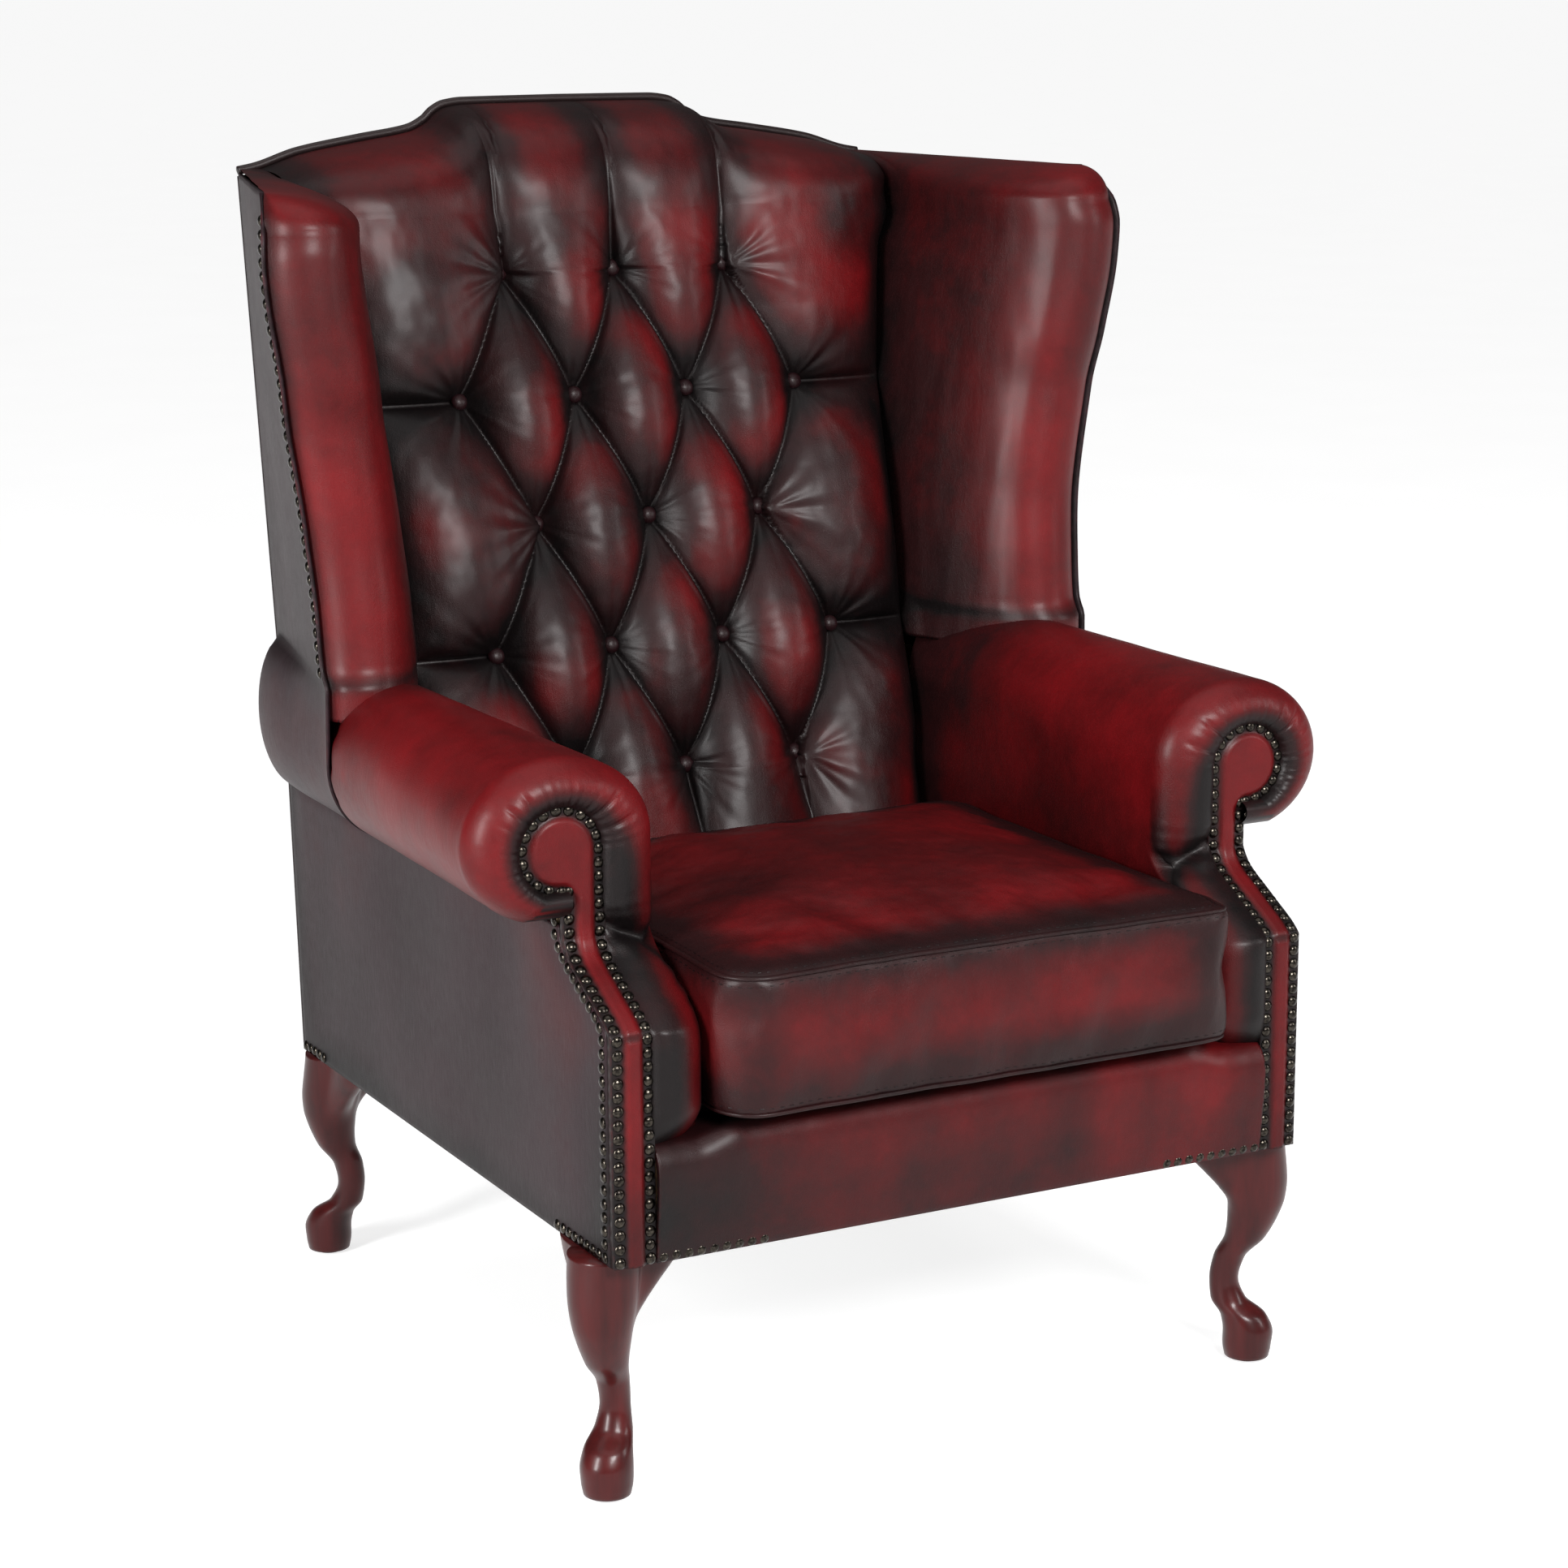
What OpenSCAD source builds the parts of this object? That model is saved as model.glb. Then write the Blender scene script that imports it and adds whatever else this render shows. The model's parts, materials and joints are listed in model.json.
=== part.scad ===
// Wing armchair with a deep-buttoned back, scroll arms and a loose seat cushion.
// The front of the chair faces -Y, the floor is z = 0, and x = 0 is the plane of symmetry.

/* [Body] */
// Width over the outside arm panels
body_w = 636; // [580:1:680]
// Distance from the origin forward to the face of the front rail
front_y = 368; // [343:1:393]
// Distance from the origin back to the foot of the outside back
rear_y = 303; // [277:1:327]
// Height of the underside of the rails
leg_h = 204; // [170:1:230]
// Height of the rails
rail_h = 82; // [70:1:95]
// Thickness of the frame's boards
board_t = 28; // [24:1:32]
// Thickness of a flat cover with its lining board
cover_t = 4; // [3:0.5:6]
// Clearance between neighbouring pieces
fit = 0.3; // [0.2:0.05:0.5]

/* [Arms] */
// Thickness of an arm from its padded inside to the outside arm panel
arm_pad = 82; // [72:1:92]
// Height of the top of the arm rolls above the seat deck
arm_rise = 278; // [250:1:300]
// Height of a roll from its top to the tuck below it
roll_h = 133; // [120:1:145]
// Reach of a roll outwards past the body at its front end
roll_front_reach = 78; // [60:1:90]
// Reach of a roll outwards past the body where it meets the wing
roll_wing_reach = 58; // [50:1:70]
// Reach of the covered roll at the rear corner
roll_rear_reach = 27; // [15:1:35]
// Distance from the front back to the face of the scroll
neck_set = 83; // [70:1:95]
// Height of the facing's sweep back
sweep_h = 57; // [48:1:66]
// Drop from the tuck below the roll to the top of the sweep
neck_drop = 10; // [4:1:16]
// Width of the facing strip
facing_w = 36; // [32:1:40]
// Thickness of the facing panel
facing_t = 8; // [6:0.5:10]
// Radius of the scroll at the top of the facing
scroll_r = 37.5; // [34:0.5:40]
// Drop from the middle of the roll to the middle of the scroll
scroll_drop = 5.5; // [2:0.5:9]

/* [Back] */
// Height of the crest above the seat deck
back_h = 748; // [700:1:790]
// Rise of the crest above the shoulders
crest_rise = 57; // [48:1:62]
// Distance between buttons in a row
button_pitch = 113; // [105:1:118]
// Height between rows of buttons
row_pitch = 110; // [104:1:114]
// Drop from the crest to the top row of buttons
row_drop = 150; // [142:1:160]
// Depth of the back from its outside down to the buttons' plane, at the seat deck
foot_depth = 205; // [195:1:215]
// Depth of the back from its outside to the buttons' plane, at the crest
crest_depth = 67; // [62:1:75]
// Diameter of a covered button
button_d = 17; // [14:0.5:20]
// Depth of the tufts
tuft_h = 42; // [30:1:46]
// Thickness of the padding behind a button
pad_t = 12; // [10:1:16]
// Thickness of the back's foam
foam_t = 26; // [20:1:32]
// How far the outside back leans back up to the arms' tuck
knee_set = 16; // [10:1:22]
// How far the outside back leans back up to the crest
back_rake = 102; // [92:1:112]
// Distance from the body's side to the seam of the buttoned back at the crest
seam_inset = 18; // [14:1:24]

/* [Wings] */
// Reach of the wings' front edges past the body at their widest
wing_flare = 96; // [82:1:110]
// Reach of the wings' front edges past the body where they meet the arms
wing_low_flare = 57; // [50:1:64]
// Depth of the wings from the foot of the outside back forward
wing_depth = 233; // [220:1:246]
// Drop from the shoulders of the crest to the top of the wings
wing_step = 3; // [1:0.5:8]
// Radius of the wings' padded front edge
nose_r = 42; // [36:1:46]
// Thickness of the wing boards
wing_board_t = 12; // [9:1:14]

/* [Seat] */
// Height of the seat deck above the rails
deck_rise = 26; // [22:1:32]
// Diameter of the spring wire
wire_d = 4; // [3:0.5:4.5]
// Number of zigzag springs
springs = 5; // [4:1:6]
// Number of bends in a spring
spring_bends = 14; // [10:2:16]

/* [Cushion] */
// How far the cushion stands out past the front
cushion_overhang = 37; // [20:1:45]
// Gap between the cushion and the buttoned back
cushion_gap = 1.6; // [1:0.1:4]
// Height between the cushion's two welts
cushion_h = 116; // [100:1:125]
// Rise of the crown above the top welt
crown = 24; // [14:1:30]
// Fall of the belly below the bottom welt at the front overhang
belly = 3; // [1:0.5:4]
// How far the sides draw in between the corners
draw_in = 4; // [1:0.5:6]
// Radius of the cushion's front corners
corner_r = 42; // [30:1:55]
// Diameter of the welts
welt_d = 7; // [5:0.5:8]
// Thickness of the cushion's leather
leather_t = 2; // [1.5:0.1:3]

/* [Legs] */
// Distance from the body's side in to the middle of a front foot
foot_front_inset = 10; // [6:1:18]
// Distance from the front back to the middle of a front foot
foot_front_set = 43; // [36:1:50]
// Distance from the body's side in to the middle of a rear foot
foot_rear_inset = 22; // [14:1:28]
// Distance from the foot of the outside back to the middle of a rear foot
foot_rear_set = 14; // [2:1:24]
// Distance that the rear feet stand behind their knees
rear_rake = 34; // [20:1:45]
// Diameter of the foot
foot_d = 43; // [38:1:48]
// Diameter of the ankle
ankle_d = 25; // [22:1:30]
// Diameter of the leg at the knee
knee_d = 58; // [50:1:62]
// Reach of a leg's ears along the rails
ear = 68; // [50:1:75]
// Diameter of the glides
glide_d = 24; // [18:1:24]
// Height of the glides
glide_h = 3; // [2:0.5:4]

/* [Nails] */
// Distance between decorative nails
nail_pitch = 11; // [10.5:0.5:14]
// Diameter of a nail's head
nail_d = 9.6; // [8:0.2:10]
// Height of a nail's head
nail_h = 2.6; // [2:0.1:3.2]
// Diameter of a nail's shank
shank_d = 1.8; // [1.4:0.1:2.2]
// Length of a nail's shank
shank_l = 7; // [5:0.5:7.5]

/* [Hidden] */
leather = "#6d1018";
dark_leather = "#3a1216";
mahogany = "#4a150f";
beech = "#c9a574";
bronze = "#5b4a34";
steel = "#8d9094";
cloth = "#22201f";
jute = "#a58a5f";
foam_yellow = "#e2cf8c";

// Planes that the boards, pads and covers share
half_w = body_w / 2;
neck_y = front_y - neck_set;
knee_y = rear_y + knee_set;
top_y = rear_y + back_rake;
wing_y = rear_y - wing_depth;
seam_top = half_w - seam_inset;
wing_out = half_w + wing_flare;
wing_low = half_w + wing_low_flare;
foot_front_x = half_w - foot_front_inset;
foot_front_y = front_y - foot_front_set;
foot_rear_x = half_w - foot_rear_inset;
foot_rear_y = rear_y + foot_rear_set;
board_out = half_w - cover_t;
board_in = board_out - board_t;
facing_out = half_w;
facing_in = half_w - facing_w;
arm_in = half_w - arm_pad;
rail_top = leg_h + rail_h;
deck_z = rail_top + deck_rise;
crest_h = deck_z + back_h;
row_z = crest_h - row_drop;
wing_top = crest_h - crest_rise - wing_step;
arm_top = deck_z + arm_rise;
post_y = front_y - facing_t - fit;
roll_b = roll_h / 2;
roll_z = arm_top - roll_b;
tuck_z = arm_top - roll_h;
neck_z = tuck_z - neck_drop;
kink_z = neck_z - sweep_h;
scroll_z = roll_z - scroll_drop;
arm_board_top = roll_z + roll_b / 4;
arm_board_h = board_t + board_t / 2;
wing_base = arm_top + 7 * fit;
back_foot_y = rear_y - foot_depth;
back_slope_share = (top_y - crest_depth - back_foot_y) / back_h;
cover_end = cover_t + fit;
$fn = 48;

function mix(a, b, t) = a + (b - a) * t;
function clamp1(t) = max(0, min(1, t));
function smooth(t) = let(c = clamp1(t)) c * c * (3 - 2 * c);

// Front profile of the arms: upright, a sweep back, then the upright neck
sweep_share = [[0, 0], [0.12, 0.1], [0.45, 0.5], [0.8, 0.9], [1, 1]];
function facing_y(z) = mix(-front_y, -neck_y, lookup((z - kink_z) / (neck_z - kink_z), sweep_share));
facing_heights = concat([leg_h], [for (p = sweep_share) mix(kink_z, neck_z, p[0])], [scroll_z]);

// Planes of the back: the buttons' plane, and the outside back with its bend at the arms
function button_y(z) = back_foot_y + back_slope_share * (z - deck_z);
function out_y(z) = z < tuck_z
  ? mix(rear_y, knee_y, (z - leg_h) / (tuck_z - leg_h))
  : mix(knee_y, top_y, (z - tuck_z) / (crest_h - tuck_z));

// Crest line, as shares of the half width and of the crest's rise
crest_share = [[0, 1], [0.3, 0.99], [0.36, 0.95], [0.395, 0.86], [0.425, 0.72], [0.48, 0.58],
  [0.63, 0.45], [0.82, 0.27], [0.95, 0.05], [1, 0]];
function crest_z(x) = crest_h - crest_rise * (1 - lookup(abs(x) / half_w, crest_share));

// Half width of the buttoned back, as shares of its height and of its spread
seam_share = [[0, 0], [0.17, 0.04], [0.24, 0.16], [0.36, 0.225], [0.46, 0.29], [0.63, 0.41],
  [0.81, 0.75], [0.86, 1], [1, 1]];
function seam_x(z) = mix(arm_in - 2 * fit, seam_top,
  lookup((z - deck_z) / (crest_h - deck_z), seam_share));

// Front edge of a wing, as shares of its height, of its flare and of its corner's radius
flare_share = [[0, 0], [0.154, 0.03], [0.305, 0.15], [0.512, 0.46], [0.637, 0.67], [0.8, 0.95],
  [0.873, 1], [0.922, 0.95], [0.966, 0.79], [1, 0.6]];
join_share = 0.24;
wing_sweep_share = [[0, -join_share], [0.04, 0], [0.154, 0.13], [0.305, 0.27], [0.512, 0.27],
  [0.637, 0.08], [0.8, 0], [0.873, 0], [0.922, 0.1], [0.966, 0.47], [1, 1]];
join_y = wing_y - nose_r * join_share;
function wing_t(z) = clamp1((z - arm_top) / (wing_top - arm_top));
function wing_x(z) = mix(wing_low, wing_out, lookup(wing_t(z), flare_share));
function wing_front(z) = wing_y + nose_r * lookup(wing_t(z), wing_sweep_share);
wing_heights = [for (t = [0, 0.04, 0.154, 0.305, 0.41, 0.512, 0.637, 0.75, 0.85, 0.922, 0.966, 0.99])
  mix(wing_base, wing_top, t)];

// Outside face of a wing at a height, from its front edge back to the rear corner
function roll_share(z) = sqrt(max(0, 1 - pow((z - roll_z) / roll_b, 2)));
function side_front(z) = z < roll_z
  ? [half_w + roll_wing_reach * roll_share(z), join_y]
  : [mix(half_w + roll_wing_reach, wing_x(z), clamp1((z - roll_z) / roll_b)), wing_front(z)];
function side_rear(z) = [half_w, out_y(z) - cover_end];
function side_at(z, t) = let(a = side_front(z), b = side_rear(z))
  [mix(a[0], b[0], t) + roll_rear_reach * roll_share(z) * smooth(t * 1.15) * smooth((1 - t) * 9),
    mix(a[1], b[1], t)];
side_steps_share = [0, 0.2, 0.45, 0.7, 0.88, 0.96, 1];

// Closed solid through sections with equal numbers of points, anticlockwise as seen from the last one
module loft(sections, first_cap = []) {
  n = len(sections[0]);
  m = len(sections);
  first = len(first_cap) > 0 ? first_cap : [[for (j = [0 : n - 1]) j]];
  points = [for (s = sections) for (p = s) p];
  walls = [for (i = [0 : m - 2]) for (j = [0 : n - 1]) let(k = (j + 1) % n)
    each [[i * n + j, (i + 1) * n + k, i * n + k], [i * n + j, (i + 1) * n + j, (i + 1) * n + k]]];
  caps = concat(first, [[for (j = [n - 1 : -1 : 0]) (m - 1) * n + j]]);
  polyhedron(points, concat(walls, caps), convexity = 6);
}

// Closed tube of round section along a line in space
module tube(route, r, sides) {
  m = len(route);
  function heading(i) = let(d = route[min(i + 1, m - 1)] - route[max(i - 1, 0)]) d / norm(d);
  loft([for (i = [0 : m - 1]) let(h = heading(i), a = cross(h, [0, 0, 1]), u = a / norm(a), v = cross(h, u))
    [for (k = [0 : sides - 1]) route[i] + r * (u * cos(360 * k / sides) + v * sin(360 * k / sides))]]);
}

// Board given by its outline in the side view, spread over a range of x
module side_board(outline, x0, x1) {
  translate([x0, 0, 0]) rotate([90, 0, 90]) linear_extrude(x1 - x0) polygon(outline);
}

// Board given by its outline in the front view, spread over a range of y
module front_board(outline, y0, y1) {
  translate([0, y1, 0]) rotate([90, 0, 0]) linear_extrude(y1 - y0) polygon(outline);
}

module block(low, high) {
  translate(low) cube(high - low);
}

// Places at an even pitch along a line of points
function path_length(p, i = 0) = i >= len(p) - 1 ? 0 : norm(p[i + 1] - p[i]) + path_length(p, i + 1);
function place(p, d, i = 0) = let(s = norm(p[i + 1] - p[i]))
  i >= len(p) - 2 || d <= s ? mix(p[i], p[i + 1], min(1, d / s)) : place(p, d - s, i + 1);
function spaced(p, pitch) = let(l = path_length(p), n = max(1, round(l / pitch)))
  [for (k = [0 : n]) place(p, k * l / n)];

// Domed nail whose head rests on z = 0, with its shank below. Shares of the head's radius and height.
dome_share = [[1, 0], [0.9, 0.45], [0.6, 0.8], [0.24, 0.98], [0, 1]];
module nail() {
  rotate_extrude() polygon(concat([[0, -shank_l], [shank_d / 2, -shank_l], [shank_d / 2, 0]],
    [for (q = dome_share) [q[0] * nail_d / 2, q[1] * nail_h]]));
}

module left_of() {
  mirror([1, 0, 0]) children();
}

// Frame

module front_rail() {
  color(beech) block([-board_in + fit, -post_y, leg_h], [board_in - fit, board_t - post_y, rail_top]);
}

module back_rail() {
  y = out_y(leg_h) - cover_end;
  color(beech) block([-board_in + fit, y - board_t, leg_h], [board_in - fit, y, rail_top]);
}

post_foot = 2 * board_t;
back_post_t = 45;
function post_back(z) = out_y(z) - cover_end;
module side_rail() {
  color(beech) block([board_in, post_foot - post_y + fit, leg_h],
    [board_out, post_back(leg_h) - back_post_t - fit, rail_top]);
}
module side_rail_right() { side_rail(); }
module side_rail_left() { left_of() side_rail(); }

block_leg = 3 * board_t;
module corner_block(x, y, sy) {
  translate([x, y, leg_h + fit]) linear_extrude(rail_h - board_t / 2)
    polygon([[0, 0], [-block_leg, 0], [0, sy * block_leg]]);
}
module corner_blocks() {
  color(beech) for (side = [0, 1]) mirror([side, 0, 0]) {
    corner_block(board_in - 2 * fit, board_t - post_y + fit, 1);
    corner_block(board_in - 2 * fit, post_back(leg_h) - board_t - fit, -1);
  }
}

module arm_post() {
  heights = concat([for (h = facing_heights) if (h < scroll_z) h], [arm_board_top]);
  front = [for (z = heights) [facing_y(z) + facing_t + fit, z]];
  back = [[post_foot - neck_y, arm_board_top], [post_foot - neck_y, kink_z], [post_foot - post_y, rail_top],
    [post_foot - post_y, leg_h]];
  color(beech) side_board(concat(front, back), board_in, board_out);
}
module arm_post_right() { arm_post(); }
module arm_post_left() { left_of() arm_post(); }

module arm_rail() {
  z = arm_board_top - arm_board_h;
  y0 = post_foot - neck_y + fit;
  color(beech) side_board([[y0, z], [post_back(z) - back_post_t - fit, z],
    [post_back(arm_board_top) - back_post_t - fit, arm_board_top], [y0, arm_board_top]],
    board_in, board_out);
}
module arm_rail_right() { arm_rail(); }
module arm_rail_left() { left_of() arm_rail(); }

post_top = crest_h - crest_rise - board_t;
module back_post() {
  heights = [leg_h, tuck_z, post_top];
  rear = [for (z = heights) [post_back(z), z]];
  front = [for (i = [2 : -1 : 0]) [post_back(heights[i]) - back_post_t, heights[i]]];
  color(beech) side_board(concat(rear, front), board_in, board_out);
}
module back_post_right() { back_post(); }
module back_post_left() { left_of() back_post(); }

// Slab that follows the outside back, between two depths inside it
module back_slab(z0, z1, deep, shallow, half) {
  heights = concat([z0], [for (z = [tuck_z]) if (z > z0 && z < z1) z], [z1]);
  n = len(heights) - 1;
  side_board(concat([for (z = heights) [out_y(z) - deep, z]],
    [for (i = [n : -1 : 0]) [out_y(heights[i]) - shallow, heights[i]]]), -half, half);
}

// Outline under the crest line, lowered by drop
function crest_outline(half, z0, drop) = let(
  xs = concat([for (i = [len(crest_share) - 1 : -1 : 0]) -half * crest_share[i][0]],
    [for (i = [1 : len(crest_share) - 1]) half * crest_share[i][0]]))
  concat([[half, z0], [-half, z0]], [for (x = xs) [x, crest_z(x) - drop]]);

crest_rail_h = 95;
crest_drop = 26;
module crest_rail() {
  z0 = post_top - crest_rail_h;
  color(beech) intersection() {
    back_slab(z0, crest_h, cover_end + board_t, cover_end, board_in - fit);
    front_board(crest_outline(board_in - fit, z0, crest_drop + cover_t), back_foot_y, top_y + board_t);
  }
}

lower_rail_h = 70;
module lower_back_rail() {
  z0 = deck_z + fit;
  z1 = z0 + lower_rail_h;
  deep = pad_t + foam_t + 3 * fit;
  color(beech) side_board([[button_y(z0) + deep, z0], [button_y(z0) + deep + board_t, z0],
    [button_y(z1) + deep + board_t, z1], [button_y(z1) + deep, z1]], -board_in + fit, board_in - fit);
}

// Board inside a wing, from the nose back along the post
function outer_skin_x(z, y) = let(a = side_front(z), b = side_rear(z))
  mix(a[0], b[0], (y - a[1]) / (b[1] - a[1]));
module wing_board() {
  color(beech) loft([for (z = [for (h = wing_heights) if (h < wing_top - nose_r / 3) h])
    let(y0 = wing_front(z) + nose_r / 2, y1 = post_back(z) - back_post_t + board_t / 2,
      x0 = outer_skin_x(z, y0) - cover_end - fit, x1 = outer_skin_x(z, y1) - cover_end - fit)
    [[x0, y0, z], [x1, y1, z], [board_out + fit, y1, z], [x0 - wing_board_t, y0, z]]]);
}
module wing_board_right() { wing_board(); }
module wing_board_left() { left_of() wing_board(); }

// Seat suspension

spring_z = rail_top + wire_d / 2 + fit;
spring_w = 44;
spring_front = board_t / 2 - post_y;
spring_back = out_y(leg_h) - cover_end - board_t / 2;
spring_step = (spring_back - spring_front) / (spring_bends + 1);
spring_gap = 2 * arm_in / springs;
// Across the rail, then bars that swing from side to side, and across the other rail
bend_share = [[-0.36, 0.34], [-0.5, 0.5], [-0.36, 0.66]];
spring_route = concat([[spring_w / 2, spring_front, 0]],
  [for (i = [0 : spring_bends]) let(s = i % 2 == 0 ? 1 : -1, y = spring_front + (i - 0.5) * spring_step)
    each i == 0 ? [[-0.36 * spring_w, spring_front, 0]]
      : [for (q = bend_share) [s * q[0] * -spring_w, y + (q[1] - 0.5) * spring_step + spring_step / 2, 0]]],
  [[0.36 * spring_w, spring_back, 0], [-spring_w / 2, spring_back, 0]]);
function spring_x(i) = (i - (springs - 1) / 2) * spring_gap;
module seat_springs() {
  color(steel) for (i = [0 : springs - 1]) translate([spring_x(i), 0, spring_z])
    tube(spring_route, wire_d / 2, 6);
}

clip_w = 14;
module spring_clip(y) {
  difference() {
    block([-clip_w / 2, y - clip_w / 2, rail_top + fit / 2],
      [clip_w / 2, y + clip_w / 2, spring_z + wire_d / 2 + cover_t / 4]);
    translate([-clip_w, y, spring_z]) rotate([0, 90, 0]) cylinder(d = wire_d + fit / 3, h = 2 * clip_w);
  }
}
module spring_clips() {
  color(steel) for (i = [0 : springs - 1]) translate([spring_x(i), 0, 0]) {
    spring_clip(spring_front);
    spring_clip(spring_back);
  }
}

deck_base = spring_z + wire_d / 2 + cover_t / 4 + fit;
deck_back = button_y(deck_z) - tuft_h / 2;
border_back = board_t + board_t / 4 - post_y;
module seat_deck() {
  color(cloth) block([-arm_in + 2 * fit, border_back + fit, deck_base],
    [arm_in - 2 * fit, deck_back, deck_z - fit]);
}

dust_t = 1.2;
module dust_cover() {
  // Its corners are cut out round the tops of the legs
  gap = 2 * dust_t + ear;
  front_cut = foot_front_x - gap;
  rear_cut = foot_rear_x - gap;
  front = -post_y;
  rear = out_y(leg_h) - cover_end;
  front_step = gap - foot_front_y;
  rear_step = foot_rear_y - rear_rake - gap;
  half = [[front_cut, front], [front_cut, front_step], [board_out, front_step],
    [board_out, rear_step], [rear_cut, rear_step], [rear_cut, rear]];
  color(cloth) translate([0, 0, leg_h - fit - dust_t]) linear_extrude(dust_t)
    polygon(concat(half, [for (i = [len(half) - 1 : -1 : 0]) [-half[i][0], half[i][1]]]));
}

// Back

web_w = 50;
web_t = 2.5;
function web_y(z) = button_y(z) + pad_t + foam_t + 2 * fit;
module back_webbing() {
  z0 = deck_z + lower_rail_h;
  z1 = post_top - crest_drop;
  color(jute) {
    for (x = [-1.5 : 1 : 1.5]) side_board([[web_y(z0) + board_t / 2, z0 + fit],
      [web_y(z0) + board_t / 2 + web_t, z0 + fit], [web_y(z1) + 2 * web_t, z1], [web_y(z1) + web_t, z1]],
      x * 2 * web_w - web_w / 2, x * 2 * web_w + web_w / 2);
    for (z = [mix(z0, z1, 0.2), mix(z0, z1, 0.5), mix(z0, z1, 0.8)])
      side_board([[web_y(z), z], [web_y(z) + web_t, z], [web_y(z + web_w) + web_t, z + web_w],
        [web_y(z + web_w), z + web_w]], -seam_x(deck_z) + fit, seam_x(deck_z) - fit);
  }
}

module back_foam() {
  z0 = deck_z + fit;
  z1 = post_top;
  color(foam_yellow) side_board([[button_y(z0) + pad_t + fit, z0], [button_y(z0) + pad_t + foam_t, z0],
    [button_y(z1) + pad_t + foam_t, z1], [button_y(z1) + pad_t + fit, z1]],
    -seam_x(deck_z) + fit, seam_x(deck_z) - fit);
}

// Puffs of the buttoned back. s counts half pitches across and r counts rows down from the top row.
function root(t) = sqrt(abs(t));
function puff(a, b) = let(sa = sin(180 * a), sb = sin(180 * b), p = root(sa * sb))
  p + (1 - p) * 0.42 * pow(max(abs(sa), abs(sb)), 0.7);
function nearest_odd(r) = abs(r - 2 * floor(r / 2) - 1);
last_row = 4;
function side_button(r) = r < 0 || r > last_row ? 2 : 3 - nearest_odd(r);
function strip(s, d) = let(p = root(sin(90 * s))) p + (1 - p) * min(0.85, 0.8 * d);
function outer(e, r) = let(
  f = r < 1 ? min(1, 1 - r) : r > last_row - 1 ? min(1, r - last_row + 1) : nearest_odd(r),
  p = root(sin(180 * e) * sin(90 * f)))
  p + (1 - p) * 0.42 * pow(abs(sin(180 * min(f, 1 - f * 0.5))), 0.7) * (1 - e);
function tuft(s, r, wing_s) = let(edge = side_button(r), a = abs(s))
  a > edge ? outer((a - edge) / (wing_s - edge), r)
  : r < 0 ? strip(a, -r)
  : r > last_row ? strip(a, r - last_row)
  : puff((s + r) / 2, (s - r) / 2);

half_cols = 16;
button_cols = 12;
function col_x(u, z) = let(a = abs(u), inner = button_pitch * 1.5)
  (u < 0 ? -1 : 1) * (a <= button_cols ? a * inner / button_cols
    : mix(inner, seam_x(z), (a - button_cols) / (half_cols - button_cols)));
foot_row = (row_z - deck_z) / row_pitch - 0.04;
back_rows = concat([foot_row], [for (k = [ceil(4 * foot_row) - 1 : -1 : -2]) k / 4]);
function pad_point(u, r) = let(z = row_z - r * row_pitch, x = col_x(u, z),
  s = x / (button_pitch / 2), w = seam_x(z) / (button_pitch / 2))
  [x, button_y(z) - tuft_h * tuft(s, r, w), z];
// The pad rolls over the crest: shares of the way up and back, with the pleats fading out
over_share = [[0.35, 0, 0.45], [0.72, 0.06, 0.2], [0.93, 0.24, 0.08], [1, 0.55, 0], [0.985, 1, 0]];
function over_point(u, k) = let(z0 = row_z + row_pitch / 2,
  x = col_x(u, mix(z0, crest_h - crest_rise, over_share[k][0])), zc = crest_z(x),
  z = mix(z0, zc, over_share[k][0]), r = (row_z - z) / row_pitch,
  w = seam_x(z) / (button_pitch / 2), t = tuft(x / (button_pitch / 2), r, w),
  front = button_y(z) - tuft_h * mix(0.95, t, over_share[k][2] * 2))
  [x, mix(front, out_y(zc) - 2 * cover_end, over_share[k][1]), z];
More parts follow.
